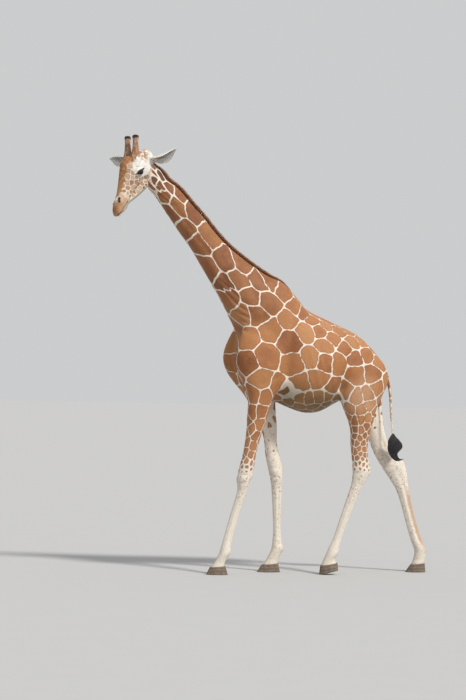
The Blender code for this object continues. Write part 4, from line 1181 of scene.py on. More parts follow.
# linear colours
CREAM = (0.76, 0.68, 0.585)
LEG_WHITE = (0.7, 0.64, 0.56)
PATCH = (0.34, 0.132, 0.041)
# pale patches of random tone, and painted sunlight on the patches of the top of the trunk
PATCH_PALE_AND_SUNLIT = (0.46, 0.22, 0.09)
PATCH_DARK = (0.215, 0.07, 0.025)
NECK_PATCH = (0.245, 0.092, 0.032)
NECK_DEEP = (0.15, 0.05, 0.022)
LEG_PATCH = (0.43, 0.225, 0.115)
FACE_BROWN = (0.275, 0.122, 0.045)
FACE_DARK = (0.17, 0.062, 0.026)
CHEEK_TAN = (0.36, 0.235, 0.15)
CHEEK_PALE = (0.53, 0.42, 0.33)
MUZZLE_TAN = (0.5, 0.33, 0.21)
MUZZLE_RUST = (0.32, 0.115, 0.03)
FACE_CREAM = (0.7, 0.61, 0.5)
NOSE_DARK = (0.045, 0.028, 0.024)
MOUTH_DARK = (0.1, 0.05, 0.035)
# dark skin round the eyes, with painted shadow of the lashes and brow
LID_DARK_AND_SHADOW = (0.012, 0.009, 0.008)
# painted shade under the belly, tinted olive as a painted reflection: its ground, then its patches
BELLY_SHADE_GROUND = (0.27, 0.25, 0.15)
BELLY_SHADE_PATCH = (0.12, 0.092, 0.034)
# painted shade on the underside of the jaw, olive
JAW_UNDER_SHADE = (0.3, 0.28, 0.18)
# painted shade in the opening of the ear's cup
EAR_CUP_SHADE = (0.17, 0.155, 0.15)
EAR_WHITE = (0.76, 0.73, 0.69)
RUST = (0.46, 0.2, 0.065)
DUST = (0.5, 0.42, 0.33)
JAW_SHADE = (0.06, 0.022, 0.014)
# painted highlight on the front of the thigh
THIGH_HIGHLIGHT = (0.56, 0.34, 0.2)
TAIL_PATCH = (0.56, 0.36, 0.22)
EAR_SHADE = (0.38, 0.36, 0.35)
# painted shade, near black, deep in the ear's cup at its root
EAR_CUP_DEEP_SHADE = (0.022, 0.02, 0.02)
EAR_TAN = (0.55, 0.42, 0.3)
NOSE_LIGHT = (0.47, 0.255, 0.115)
NOSE_SHADE = (0.18, 0.072, 0.03)
FOREHEAD_RED = (0.21, 0.062, 0.03)
NOSE_TAN = (0.45, 0.27, 0.15)
CROWN_BROWN = (0.27, 0.125, 0.06)
CROWN_TAN = (0.6, 0.45, 0.32)
EYE_SHADE = (0.3, 0.3, 0.27)


def ear_marks(body):
    """Share along each ear, share across it (1 at its lower rim), how far a point faces the opening, and
    the white round its root."""
    points = body.points
    along, low, opening, white = np.zeros((4, len(points)))
    for word, hand in HAND.items():
        root, aim, face, across = ear_frame(hand, word)
        t = np.clip((points - root) @ aim / EAR_LENGTH[word], 0.01, 0.99)
        half = ear_half(t)
        beside = ((points - root) @ across - EAR_BELLY * half * np.sin(math.pi * t) * hand) / half
        inward = face - across * beside[:, None] * 0.8
        near = np.linalg.norm(points - root, axis=1) < 0.32
        opening = np.maximum(opening, near * step((body.normals * unit(inward)).sum(1), 0.0, 0.35))
        out, aside = out_along_ear(points, hand, word)
        mine = near & (out > 0.02)
        along[mine] = t[mine]
        low[mine] = beside[mine] * hand
        white = np.maximum(white, step(out, 0.01, 0.04) * step(aside, 0.085, 0.065) * (out < 0.3))
    return along, low, opening, white


# half width of the brown band down the nose, against the distance along the head
BAND = ((0.03, 0.045), (0.08, 0.068), (0.13, 0.078), (0.165, 0.078), (0.19, 0.062), (0.215, 0.05),
        (0.254, 0.05), (0.296, 0.049), (0.341, 0.046), (0.4, 0.041), (0.45, 0.035), (0.5, 0.022),
        (0.54, 0.006))


def mark_head(body, edge, tone, on_ear):
    """Edge distance, colours and specks of the face."""
    u, v, w = body.head.T
    beside = np.abs(w)
    head = body.share["head"] * (1 - on_ear)
    upward = body.normals @ HEAD_AXES[1]
    wobble = 0.006 * smooth_noise(body.points, 0.045, 8)
    # white round the eye, temple, crown and root of the ear
    pale_at = np.hypot((u - 0.125) / 0.125, (v - 0.012) / 0.092) + 9 * wobble
    pale = head * step(pale_at, 1.1, 0.92)
    for word, hand in HAND.items():
        away = np.linalg.norm(body.points - ear_frame(hand, word)[0], axis=1)
        pale = np.maximum(pale, head * step(away, 0.11, 0.085) * step(v, -0.1, -0.06))
    crown = head * step(u, 0.105, 0.065) * step(v, -0.035, 0.01)
    pale = np.maximum(pale, crown)
    edge = edge - 0.05 * pale
    edge = edge - head * 0.003 * step(u, 0.36, 0.45)
    # the band down the nose
    band_edge = np.interp(u, *zip(*BAND)) + wobble - beside
    band = head * step(band_edge, -0.004, 0.004) * step(upward, 0.05, 0.25) * step(v, -0.04, -0.01)
    band *= step(u, 0.02, 0.06) * step(u, 0.54, 0.5)
    edge = np.where(band > 0.02, np.maximum(edge, band_edge * 0.8), edge)
    muzzle = head * step(u + 0.25 * v + 2 * wobble, 0.45, 0.492)
    edge = edge - 0.05 * muzzle * (1 - band)
    chin = np.interp(u, *JAW_LINE)
    # painted shade: the underside of the jaw loses its cells and takes an olive shade colour
    under = head * step(v - chin, 0.046, 0.02) * step(u, 0.02, 0.12) * step(u, 0.6, 0.5)
    edge = edge - 0.03 * under

    mottle = smooth_noise(body.points, 0.04, 12)
    fine = smooth_noise(body.head * (0.3, 1.0, 1.0), 0.014, 14)
    brown = layered(
        FACE_BROWN,
        (0.75 * step(mottle + 0.5 * fine, -0.1, 0.9), NOSE_LIGHT),
        (0.45 * step(fine - 0.4 * mottle, 0.2, 1.0), NOSE_SHADE),
        (0.9 * bell(np.hypot(u - 0.185, w + 0.02), 0.06) * step(mottle, 1.0, -0.4), FOREHEAD_RED),
        (0.5 * step(u, 0.38, 0.48), NOSE_TAN),
    )
    patch = layered(
        CHEEK_TAN,
        ((tone - 0.45) * 1.8, CHEEK_PALE),
        ((0.3 - tone) * 2.5, FACE_DARK),
        (step(v, -0.11, -0.16) * step(u, 0.3, 0.22) * 0.7, FACE_DARK),
        (band, brown),
    )
    streaky = smooth_noise(body.points * (1.0, 1.0, 0.45), 0.026, 17)
    lips = muzzle * bell(np.hypot(np.hypot(u - 0.628, v - 0.004), w * 0.7), 0.066)
    # painted highlight: a white band on the nose above the nostrils
    bare = muzzle * bell(u - 0.535, 0.022) * bell(v - 0.045, 0.02) * step(beside, 0.04, 0.02)
    lash = step(body.lash, 0.3, 0.7)
    # dark skin round the eyes and painted shadow of the lashes and brow
    dark = np.maximum(lash, step(body.corner, 0.25, 0.75))
    ground = layered(
        FACE_CREAM,
        (pale, EAR_WHITE),
        (crown * step(streaky, -0.2, 0.35) * step(v, -0.03, 0.02), CROWN_BROWN),
        (crown * 0.25, CROWN_TAN),
        (muzzle, MUZZLE_TAN),
        (muzzle * 0.6 * step(v, -0.02, -0.07), FACE_CREAM),
        (1.3 * lips * (0.8 + 0.2 * smooth_noise(body.points, 0.03, 5)), MUZZLE_RUST),
        # painted highlight above the nostrils
        (bare * 0.9, EAR_WHITE),
        # painted shade under the jaw
        (under * 0.85, JAW_UNDER_SHADE),
        (body.nostril * 1.4, NOSE_DARK),
        (body.mouth * 1.2, MOUTH_DARK),
        (0.75 * body.under_eye, EYE_SHADE),
        (dark, LID_DARK_AND_SHADOW),
    )
    edge = edge - 0.06 * step(dark, 0.05, 0.3)
    mottled = np.maximum((0.3 + 0.6 * crown) * pale, 0.4 * muzzle * step(beside, 0.02, 0.035))
    speck = head * mottled * (1 - dark)
    wet = np.clip(body.nostril * 1.5 + body.mouth + lash * 0.7, 0, 1)
    return edge, patch, ground, speck, wet


KNEE_LINE = (0.93, 0.95)    # height where the net has broken up, on front and hind legs
THROAT_WAY = np.array([-0.76, 0.0, -0.65])
JAW_SHADE_AT = np.array([-1.43, -0.19, 3.73])


def leg_masks(body):
    """Height at which the net has ended on each leg, the inner faces of the legs, and all legs."""
    x, _, z = body.points.T
    knee = np.where(x < LEG_SPLIT, *KNEE_LINE)
    inner = np.zeros(len(x))
    for leg in LEG_TABLES:
        hand = 1 if leg.endswith("left") else -1
        inner += body.share[leg] * step(body.normals[:, 1] * hand, 0.15, 0.6)
    return knee, inner * step(z, 1.75, 1.55), sum(body.share[leg] for leg in LEG_TABLES)


def line_half(body, crossing, knee, inner):
    """Half width of the cream lines: thin on the back, wide across the throat, open at knees and armpits."""
    x, _, z = body.points.T
    head = body.share["head"]
    throat = step(body.normals @ THROAT_WAY, -0.1, 0.75)
    half = 0.0053 - 0.0022 * body.share["trunk"] * step(body.normals[:, 2], 0.2, 0.8)
    half += body.share["neck"] * (0.0012 + 0.0015 * throat * step(crossing, 0.6, 0.9))
    half -= 0.0012 * step(z, 1.75, 1.5)
    half = half * (1 - head) + 0.0034 * head
    half += 0.0075 * step(z, knee + 0.2, knee + 0.04)
    half += 0.03 * step(z, knee + 0.07, knee - 0.06)
    half += 0.03 * inner
    armpit = bell(np.hypot(x + 0.14, z - 1.76), 0.105) * step(z, 1.95, 1.8)
    half += 0.03 * step(armpit, 0.25, 0.7)
    return half + 0.012 * bell(np.hypot(x - 0.34, z - 1.7), 0.07)


def mark(body):
    """Colours, the net's edge distance and the hair's own coordinates for each point."""
    x, _, z = body.points.T
    rise = body.normals[:, 2]
    neck, trunk = body.share["neck"], body.share["trunk"]
    on_ear = ear_share(body.points)
    knee, inner, on_leg = leg_masks(body)
    edge, cell, crossing = net_of_lines(body)
    tone = np.random.default_rng(3).uniform(0, 1, cell.max() + 1)[cell]
    edge = edge - line_half(body, crossing, knee, inner)
    edge = edge - body.share["tail"] * np.interp(z, (1.35, 1.6, 1.95), (0.008, 0.006, 0.001))
    heart = step(edge, 0.02, 0.085) * 0.35 * step(tone, 0.75, 0.35)
    behind_jaw = bell(np.linalg.norm(body.points - JAW_SHADE_AT, axis=1), 0.095)
    thigh = step(z, 1.45, 1.65) * step(z, 2.25, 2.05) * step(x, 0.3, 0.42) * on_leg
    # painted shade: the downward-facing belly is darkened and tinted olive
    belly = trunk * step(rise, -0.15, -0.65) * step(x, -0.3, -0.15)
    tail = body.share["tail"] * (x > 0.8)

    face_edge, face_patch, face_ground, face_speck, wet = mark_head(body, edge, tone, on_ear)
    on_face = step(body.share["head"], 0.45, 0.55) * (1 - on_ear)
    along, across, opening, ear_root = ear_marks(body)
    edge = edge * (1 - on_face) + face_edge * on_face - 0.05 * np.maximum(on_ear, ear_root)
    opening = on_ear * opening
    across = across + 0.38 * (body.head[:, 2] < 0)       # the right ear shows its cup from higher up
    # the slit is the opening into the ear's cup, where shade is painted
    slit = step(across, -0.5, -0.22) * step(across, 0.45, 0.2)
    shade = step(across, -0.6, -0.3) * step(across, 0.75, 0.45) * step(along, 0.06, 0.22)
    stain = body.share["hind_right"] * step(leg_places(body, "hind_right")[1], 0.55, 0.8)
    stain = stain * step(z, 0.86, 0.7) * step(z, 0.2, 0.3)

    patch = layered(
        PATCH,
        (neck, NECK_PATCH),
        ((tone - 0.5) * 1.8 * (1 - 0.6 * neck), PATCH_PALE_AND_SUNLIT),
        ((0.35 - tone) * 2.0 * (1 - neck), PATCH_DARK),
        ((0.35 - tone) * 2.0 * neck, NECK_DEEP),
        (heart, PATCH_DARK),
        # painted light: the patches on the top of the trunk are lightened as if sunlit
        (0.45 * step(rise, 0.3, 0.9) * trunk, PATCH_PALE_AND_SUNLIT),
        (1.2 * behind_jaw * step(body.normals[:, 1], 0.1, -0.4), JAW_SHADE),
        (0.6 * step(z, 1.5, 1.15) * on_leg, LEG_PATCH),
        # painted highlight: the patches on the front of the thigh are lightened as by sun on glossy hair
        (0.65 * thigh * step(x, 0.8, 0.55), THIGH_HIGHLIGHT),
        # painted shade on the patches of the belly
        (0.7 * belly, BELLY_SHADE_PATCH),
        (tail * np.interp(z, (1.4, 1.75, 1.95), (0.8, 0.6, 0.0)), TAIL_PATCH),
        (on_face, face_patch),
    )
    ground = layered(
        CREAM,
        (step(z, 1.25, 1.0), LEG_WHITE),
        # painted shade on the ground of the belly
        (0.7 * belly, BELLY_SHADE_GROUND),
        (on_face, face_ground),
        (np.maximum(on_ear, 0.8 * ear_root), EAR_WHITE),
        (opening * 0.55 * shade, EAR_SHADE),
        # painted shade in the ear's cup: grey along the opening, near black towards the root
        (opening * slit * step(along, 1.0, 0.8) * (1 - 0.5 * along), EAR_CUP_SHADE),
        (opening * slit * step(along, 0.62, 0.25), EAR_CUP_DEEP_SHADE),
        (on_ear * (1 - opening) * 0.35 * step(along, 0.6, 0.2), EAR_TAN),
        (0.75 * stain, RUST),
        (step(z, 0.3, 0.1) * 0.25, DUST),
    )
    speck = 0.9 * step(z, knee + 0.12, knee - 0.02) * step(z, knee - 0.35, knee - 0.12)
    speck = np.maximum(speck, 0.1 * step(z, knee, knee - 0.1))
    speck = np.maximum(speck, 0.5 * inner * step(z, 1.35, 1.15))
    speck = np.maximum(speck, face_speck) * (1 - on_ear)
    body.marks = {"edge": edge, "tone": tone, "speck": speck, "wet": wet, "patch": np.clip(patch, 0, 1),
                  "ground": np.clip(ground, 0, 1), "lie": hair_places(body.points, body.share)}


# ---------------------------------------------------------------- materials
def new_material(name, roughness, specular=0.5):
    material = bpy.data.materials.new(name)
    material.use_nodes = True
    shader = material.node_tree.nodes["Principled BSDF"]
    shader.inputs["Roughness"].default_value = roughness
    shader.inputs["Specular IOR Level"].default_value = specular
    return material, shader


class Nodes:
    """Short calls for the nodes of one material."""

    def __init__(self, material):
        self.tree = material.node_tree

    def add(self, kind, **settings):
        node = self.tree.nodes.new(kind)
        for key, value in settings.items():
            setattr(node, key, value)
        return node

    def put(self, socket, value):
        if isinstance(value, bpy.types.NodeSocket):
            self.tree.links.new(value, socket)
        elif isinstance(value, (tuple, list)) and socket.type == "RGBA":
            socket.default_value = (*value[:3], 1.0)
        else:
            socket.default_value = value

    def attribute(self, name, out="Fac"):
        return self.add("ShaderNodeAttribute", attribute_name=name).outputs[out]

    def place(self, stretch=None):
        """Place in the object, in which what is drawn can be stretched upright."""
        place = self.add("ShaderNodeTexCoord").outputs["Object"]
        if stretch is None:
            return place
        node = self.add("ShaderNodeMapping")
        node.inputs["Scale"].default_value = (1.0, 1.0, stretch)
        self.put(node.inputs["Vector"], place)
        return node.outputs[0]

    def math(self, operation, *values):
        node = self.add("ShaderNodeMath", operation=operation)
        for socket, value in zip(node.inputs, values):
            self.put(socket, value)
        return node.outputs[0]

    def ramp(self, value, low, high, to_low=0.0, to_high=1.0):
        node = self.add("ShaderNodeMapRange", interpolation_type="SMOOTHSTEP")
        for socket, given in zip(node.inputs, (value, low, high, to_low, to_high)):
            self.put(socket, given)
        return node.outputs[0]

    def mix(self, factor, a, b, blend="MIX"):
        node = self.add("ShaderNodeMix", data_type="RGBA", blend_type=blend)
        self.put(node.inputs[0], factor)
        self.put(node.inputs[6], a)
        self.put(node.inputs[7], b)
        return node.outputs[2]

    def noise(self, vector, scale, detail=2.0, rough=0.5):
        node = self.add("ShaderNodeTexNoise")
        self.put(node.inputs["Vector"], vector)
        node.inputs["Scale"].default_value = scale
        node.inputs["Detail"].default_value = detail
        node.inputs["Roughness"].default_value = rough
        return node.outputs[0]

    def bump(self, height, strength, distance, normal=None):
        node = self.add("ShaderNodeBump")
        node.inputs["Strength"].default_value = strength
        node.inputs["Distance"].default_value = distance
        self.put(node.inputs["Height"], height)
        if normal is not None:
            self.put(node.inputs["Normal"], normal)
        return node.outputs[0]


def hide_material():
    """Short coat: patches on a pale ground, with the streaks of flat hair in colour and relief."""
    material, shader = new_material("giraffe_hide", 0.62, 0.32)
    n = Nodes(material)
    lie = n.attribute("lie", "Vector")
    place = n.place()
    hair = n.noise(lie, 330.0, 3.0, 0.65)
    clump = n.noise(lie, 95.0, 2.0, 0.5)
    soil = n.noise(place, 6.0, 4.0, 0.6)
    ragged = n.math("MULTIPLY_ADD", clump, 0.005, -0.0025)
    ragged = n.math("ADD", ragged, n.math("MULTIPLY_ADD", hair, 0.0036, -0.0018))
    edge = n.math("ADD", n.attribute("edge"), ragged)
    inside = n.ramp(edge, -0.0014, 0.0022)
    patch = n.mix(n.ramp(soil, 0.35, 0.7, 0.0, 0.3), n.attribute("patch", "Color"), (0.5, 0.22, 0.09))
    rim = n.ramp(edge, 0.0, 0.016, 0.3, 0.0)
    patch = n.mix(rim, patch, (0.2, 0.065, 0.022))
    ground = n.mix(n.ramp(soil, 0.45, 0.75, 0.0, 0.25), n.attribute("ground", "Color"), (0.6, 0.5, 0.38))
    speck_field = n.noise(place, 50.0, 2.0, 0.5)
    speck = n.math("MULTIPLY", n.ramp(speck_field, 0.545, 0.665), n.attribute("speck"))
    ground = n.mix(speck, ground, (0.4, 0.255, 0.15))
    colour = n.mix(inside, ground, patch)
    streak = n.ramp(hair, 0.3, 0.72, 0.8, 1.14)
    colour = n.mix(1.0, colour, streak, "MULTIPLY")
    n.put(shader.inputs["Base Color"], colour)
    rough = n.ramp(n.attribute("wet"), 0.1, 0.8, 0.62, 0.36)
    n.put(shader.inputs["Roughness"], rough)
    shader.inputs["Sheen Weight"].default_value = 0.12
    shader.inputs["Sheen Roughness"].default_value = 0.45
    relief = n.bump(hair, 0.42, 0.0016)
    relief = n.bump(clump, 0.3, 0.003, relief)
    n.put(shader.inputs["Normal"], relief)
    return material


def stage_material():
    material, shader = new_material("floor_pale", 0.9, 0.2)
    n = Nodes(material)
    place = n.place()
    grain = n.noise(place, 3.0, 3.0)
    n.put(shader.inputs["Base Color"], n.mix(grain, (0.465, 0.468, 0.47), (0.485, 0.487, 0.488)))
    return material


HIDE = hide_material()


# ---------------------------------------------------------------- locks of hair
PATCH_ON_MAP = 0.0015       # half size of a lock's patch on the bake map
CORNERS = np.array([[-1, 0, 0.5], [1, 0, 0.5], [0, 1, 1.0]])    # across, outward and map height of a ring


def ring_of(at, across, up, wide, high):
    """Corners of one three-sided section of each lock."""
    return [at + across * (wide * side) + up * (high * rise) for side, rise, _ in CORNERS]


def lock_faces(count, rings):
    """Triangles of many locks of a few sections each, and each point's share of its lock's length."""
    sides = ((0, 1), (1, 2), (2, 0))
    faces = [(0, 2, 1)]
    for a in range(0, 3 * rings - 3, 3):
        for i, j in sides:
            faces += [(a + i, a + j, a + 3 + j), (a + i, a + 3 + j, a + 3 + i)]
    last = 3 * (rings - 1)
    faces += [(last + i, last + j, last + 3) for i, j in sides]
    faces = (np.array(faces)[None] + (np.arange(count) * (3 * rings + 1))[:, None, None]).reshape(-1, 3)
    return faces, np.tile(np.append(np.repeat(np.arange(rings) / rings, 3), 1.0), count)


def locks(root, out, lie, length, width, lift, rings=2, curl=0.0, flat=0.4, sink=0.0015):
    """Closed three-sided hairs that taper to a point: (points, triangles, share along each point)."""
    count = len(root)
    given = (length, width, lift, curl)
    length, width, lift, curl = (np.broadcast_to(values, count)[:, None] for values in given)
    lie = unit(lie - out * (lie * out).sum(1, keepdims=True))
    across = np.cross(out, lie)
    at = root - out * sink
    levels = []
    for k in range(rings):
        angle = lift + curl * (k / max(rings - 1, 1))
        ahead = lie * np.cos(angle) + out * np.sin(angle)
        up = out * np.cos(angle) - lie * np.sin(angle)
        wide = width * (0.85 if k == 0 else 1.0 - 0.75 * (k / rings) ** 2) / 2
        levels += ring_of(at, across, up, wide, wide * 2 * flat)
        at = at + ahead * (length / rings)
    levels.append(at)
    return np.stack(levels, 1).reshape(-1, 3), *lock_faces(count, rings)


def bake_map(piece, faces, spots, each):
    """OFBake: each lock is a small patch at its root's spot on an unwrap of the skin."""
    rings = (each - 1) // 3
    local = np.array([((side * 0.9), 2 * (k + 0.3 * rise) / rings - 1) for k in range(rings)
                      for side, rise, _ in CORNERS] + [(0.0, 1.0)]) * PATCH_ON_MAP
    place = np.clip(np.repeat(spots, each, axis=0), 0.003, 0.997) + np.tile(local, (len(spots), 1))
    layer = piece.data.uv_layers.new(name="OFBake")
    layer.uv.foreach_set("vector", place[faces.ravel()].astype(np.float32).ravel())


def coat_piece(name, slot, hair, spots, material=HIDE, smooth=True, **values):
    """One piece of joined locks with its bake map; values are given for each root, or for each point."""
    points, faces, share = hair
    each = len(points) // len(spots)
    values = {key: given if len(given) == len(points) else np.repeat(given, each, axis=0)
              for key, given in values.items()}
    piece = mesh_piece(name, points, faces, slot, material, smooth, **values, share=share)
    bake_map(piece, faces, spots, each)
    return piece


# ---------------------------------------------------------------- the short coat
def skin_unwrap(body):
    """Each part of the skin rolled out along its middle line: share along it, share round it."""
    away = body.points - body.foot
    ahead = np.zeros_like(away)
    for k, part in enumerate(PARTS):
        line = LINES[part][0]
        mine = body.part == k
        ahead[mine] = unit(line[-1] - line[0])
    side = unit(np.cross(np.cross(ahead, np.array([0.0, 1.0, 0.0])), ahead))
    back = np.cross(ahead, side)
    turn = np.arctan2((away * back).sum(1), -(away * side).sum(1))
    run = np.zeros(len(away))
    for k in range(len(PARTS)):
        mine = body.part == k
        low, high = body.run[mine].min(), body.run[mine].max()
        run[mine] = (body.run[mine] - low) / (high - low)
    return np.stack([run, turn / (2 * math.pi) + 0.5], 1)


def hair_sizes(body):
    """Length, lift off the skin and closeness of the tufts at each point."""
    x, y, z = body.points.T
    u, v, _ = body.head.T
    head = body.share["head"]
    rise = body.normals[:, 2]
    on_leg = sum(body.share[leg] for leg in LEG_TABLES)
    length = 0.016 - 0.001 * body.share["neck"]
    lift = np.full(len(x), 0.055)
    length = np.where(z < 1.5, np.interp(z, (0.25, 0.9, 1.5), (0.009, 0.0105, 0.0155)), length)
    # longer where the coat breaks the outline: belly, brisket, elbow, flank fold, back of the thighs
    under = body.share["trunk"] * step(rise, -0.75, -0.95)
    fringe = 0.9 * under * bell(y, 0.05) + 0.8 * bell(np.hypot(x + 0.62, z - 2.02), 0.12)
    fringe += 0.8 * bell(np.hypot(x + 0.2, z - 1.78), 0.07) + 0.4 * side_line(body.points, FLANK_FOLD, 0.03)
    fringe += 0.6 * on_leg * step(body.normals[:, 0], 0.75, 0.95) * step(z, 1.2, 1.45)
    for leg, (knee, fetlock) in JOINTS.items():
        own, place, _, _ = leg_places(body, leg)
        fringe += own * 0.9 * bell(z - fetlock, 0.045) * step(place, 0.65, 0.95)
        fringe += own * 0.5 * bell(z - knee - 0.04, 0.05) * step(place, 0.75, 1.0)
        fringe += own * 0.45 * step(z, 0.125, 0.085)
    fringe = np.clip(fringe, 0, 1) * (1 - head)
    length += 0.009 * fringe
    lift += 0.07 * fringe
    lift -= 0.12 * step(z, 0.125, 0.085)
    # face: shortest on the muzzle and round the eyes, longer on the crown, between the horns and on the jaw
    face = np.interp(u, (-0.05, 0.1, 0.3, 0.45, 0.6), (0.013, 0.01, 0.0085, 0.0065, 0.0042))
    crown = step(u, 0.14, 0.05) * step(v, 0.02, 0.06)
    chin = step(v + 0.1 * u, -0.135, -0.175)
    face = face + 0.006 * crown + 0.004 * chin
    length = length * (1 - head) + face * head
    lift += head * (0.16 * crown + 0.06 * chin + 0.02)
    bare = np.clip(body.lash + body.nostril + body.mouth, 0, 1)
    length *= 1 - 0.5 * bare
    return length, lift, fringe, 1 - step(bare, 0.25, 0.6)


COAT_FLAT = 0.14            # height of a tuft's back over its width
COAT_RAGGED = 0.0009        # how far a tuft's marking may be out of line
# tufts of each piece, hair stations, width against length
COAT = {
    "coat_head": (33000, 1, 0.21),
    "coat_neck": (19000, 2, 0.21),
    "coat_trunk_left": (18500, 2, 0.21),
    "coat_trunk_right": (18500, 2, 0.21),
    "coat_front_legs": (19000, 2, 0.24),
    "coat_hind_legs": (19500, 2, 0.24),
    "coat_tail": (1500, 2, 0.2),
}


def coat_of(body):
    """Names the coat piece of each point, with the strip of its bake map."""
    region = np.full(len(body.points), "coat_head", dtype="U16")
    strip = np.zeros(len(body.points))
    width = np.ones(len(body.points))
    on_ear = ear_share(body.points) > 0.5
    for k, part in enumerate(PARTS):
        mine = body.part == k
        left = mine & (body.points[:, 1] < 0)
        if part == "trunk":
            region[mine] = "coat_trunk_right"
            region[left] = "coat_trunk_left"
        elif part in ("neck", "tail"):
            region[mine] = "coat_" + part
        elif part != "head":
            region[mine] = "coat_front_legs" if part.startswith("front") else "coat_hind_legs"
            strip[mine] = 0.5 * part.endswith("right")
            width[mine] = 0.5
    return region, strip, width, on_ear


def slope_of(values, body):
    """How a value of the skin changes with place."""
    a, b = body.edges.T
    run = body.points[b] - body.points[a]
    run = run * ((values[b] - values[a]) / np.maximum((run ** 2).sum(1), 1e-10))[:, None]
    near = np.bincount(body.edges.ravel(), minlength=len(values))[:, None] / 2
    total = np.stack([np.bincount(a, run[:, k], len(values)) + np.bincount(b, run[:, k], len(values))
                      for k in range(3)], 1)
    return total / near


def grow_coat(body):
    """Short tufts over the whole skin, in pieces; each shows the markings of the skin under it."""
    length, lift, fringe, grows = hair_sizes(body)
    edge = body.marks["edge"]
    slope = slope_of(edge, body)
    roots = KDTree(len(body.points))
    for number, place in enumerate(body.points.tolist()):
        roots.insert(place, number)
    roots.balance()

    def edge_under(points):
        near = np.array([roots.find(point)[1] for point in points.tolist()])
        return edge[near] + ((points - body.points[near]) * slope[near]).sum(1)

    flat = skin_unwrap(body)
    region, strip, width, on_ear = coat_of(body)
    quads = body.quads
    corners = body.points[quads]
    size = np.linalg.norm(np.cross(corners[:, 2] - corners[:, 0], corners[:, 3] - corners[:, 1]), axis=1) / 2
    grows = grows * (1 - 0.9 * on_ear) * (1 + 1.2 * fringe) / length ** 1.6
    draw = np.random.default_rng(11)
    for name, (count, rings, wide) in COAT.items():
        mine = np.flatnonzero(region[quads[:, 0]] == name)
        weight = size[mine] * grows[quads[mine]].mean(1)
        picked = quads[draw.choice(mine, count, p=weight / weight.sum())]
        a, b = draw.random((2, count))
        share = np.stack([(1 - a) * (1 - b), a * (1 - b), a * b, (1 - a) * b], 1)

        def at(values):
            if values.ndim == 1:
                return (values[picked] * share).sum(1)
            return (values[picked] * share[..., None]).sum(1)

        long = at(length) * draw.uniform(0.75, 1.25, count)
        lie = at(body.flow) + draw.normal(0, 0.1, (count, 3))
        lifted = np.maximum(at(lift) + draw.normal(0, 0.015, count), 0.02)
        hair = locks(at(body.points), unit(at(body.normals)), lie, long,
                     wide * long * draw.uniform(0.8, 1.2, count) + 0.0004,
                     lifted, rings, -0.4 * lifted, COAT_FLAT, 0.0004)
        each = 3 * rings + 1
        levels = [hair[0].reshape(count, each, 3)[:, 3 * k:3 * k + 3].mean(1) for k in range(1, rings)]
        levels.append(hair[0].reshape(count, each, 3)[:, -1])
        ragged = draw.normal(0, COAT_RAGGED, count)
        marks = [at(edge) + ragged] * 3
        for k, level in enumerate(levels):
            marks += [edge_under(level) + ragged] * (3 if k < rings - 1 else 1)
        first = picked[:, 0]
        spots = np.stack([strip[first] + width[first] * (0.01 + 0.98 * flat[first, 0]),
                          0.01 + 0.98 * flat[first, 1]], 1)
        values = {key: at(given) for key, given in body.marks.items()}
        values["edge"] = np.stack(marks, 1).ravel()
        values["lie"] += draw.normal(0, 0.004, (count, 3))
        coat_piece(name, "hide", hair, spots, smooth=False, **values)


# ---------------------------------------------------------------- mane, ears, lashes, chin, tail
# how many locks or hairs
MANE_LOCKS = 9400
TAIL_LOCKS = 3300
EAR_HAIRS = 1500
LASHES = 150
LOWER_LASHES = 50
WHISKERS = 150
HORN_HAIRS = 2900
HORN_RING_HAIRS = 1300
TAIL_RINGS = 6              # sections of each lock of the tail tuft
# colours of long hair at its root, middle and tip
MANE_COLOURS = ((0.22, 0.082, 0.03), (0.3, 0.115, 0.038), (0.37, 0.155, 0.052))
TAIL_COLOURS = ((0.02, 0.016, 0.02), (0.022, 0.018, 0.026), (0.034, 0.03, 0.044))
EAR_COLOURS = ((0.62, 0.58, 0.53), (0.78, 0.75, 0.71), (0.85, 0.83, 0.8))
LASH_COLOURS = ((0.012, 0.009, 0.008), (0.014, 0.011, 0.01), (0.03, 0.022, 0.018))
WHISKER_COLOURS = ((0.2, 0.13, 0.08), (0.34, 0.25, 0.17), (0.5, 0.4, 0.3))


def hair_material(name, root, middle, tip, roughness=0.55):
    """Long hair: colour from root to tip, a tone for each lock."""
    material, shader = new_material(name, roughness, 0.4)
    n = Nodes(material)
    share = n.attribute("share")
    colour = n.mix(n.ramp(share, 0.0, 0.45), root, middle)
    colour = n.mix(n.ramp(share, 0.5, 1.0), colour, tip)
    tone = n.ramp(n.attribute("tone"), 0.0, 1.0, 0.75, 1.25)
    place = n.place()
    streak = n.ramp(n.noise(place, 260.0, 2.0), 0.25, 0.75, 0.8, 1.2)
    colour = n.mix(1.0, colour, tone, "MULTIPLY")
    n.put(shader.inputs["Base Color"], n.mix(1.0, colour, streak, "MULTIPLY"))
    shader.inputs["Sheen Weight"].default_value = 0.15
    n.put(shader.inputs["Normal"], n.bump(n.noise(place, 700.0, 2.0), 0.3, 0.0006))
    return material


def nape(steps=24):
    """Crest line from between the ears to the withers: points, outward direction, height of the mane."""
    crest = [(top[0], y, top[1]) for top, _, y, _, _ in NECK[:11]]
    crest += [(-0.236, 0.0, 2.798), (-0.165, 0.0, 2.745), (-0.105, 0.0, 2.69)]
    inner = [(low[0], y, low[1]) for _, low, y, _, _ in NECK[:11]]
    inner += [(-0.6, 0.0, 2.23), (-0.4, 0.0, 2.25), (-0.25, 0.0, 2.3)]
    poll = np.array(head_point(-0.052, -0.045, 0.0))
    crest = catmull([tuple(poll)] + crest, steps)
    inner = catmull([tuple(poll + np.array(ALONG) * 0.2)] + inner, steps)
    return crest, unit(crest - inner)


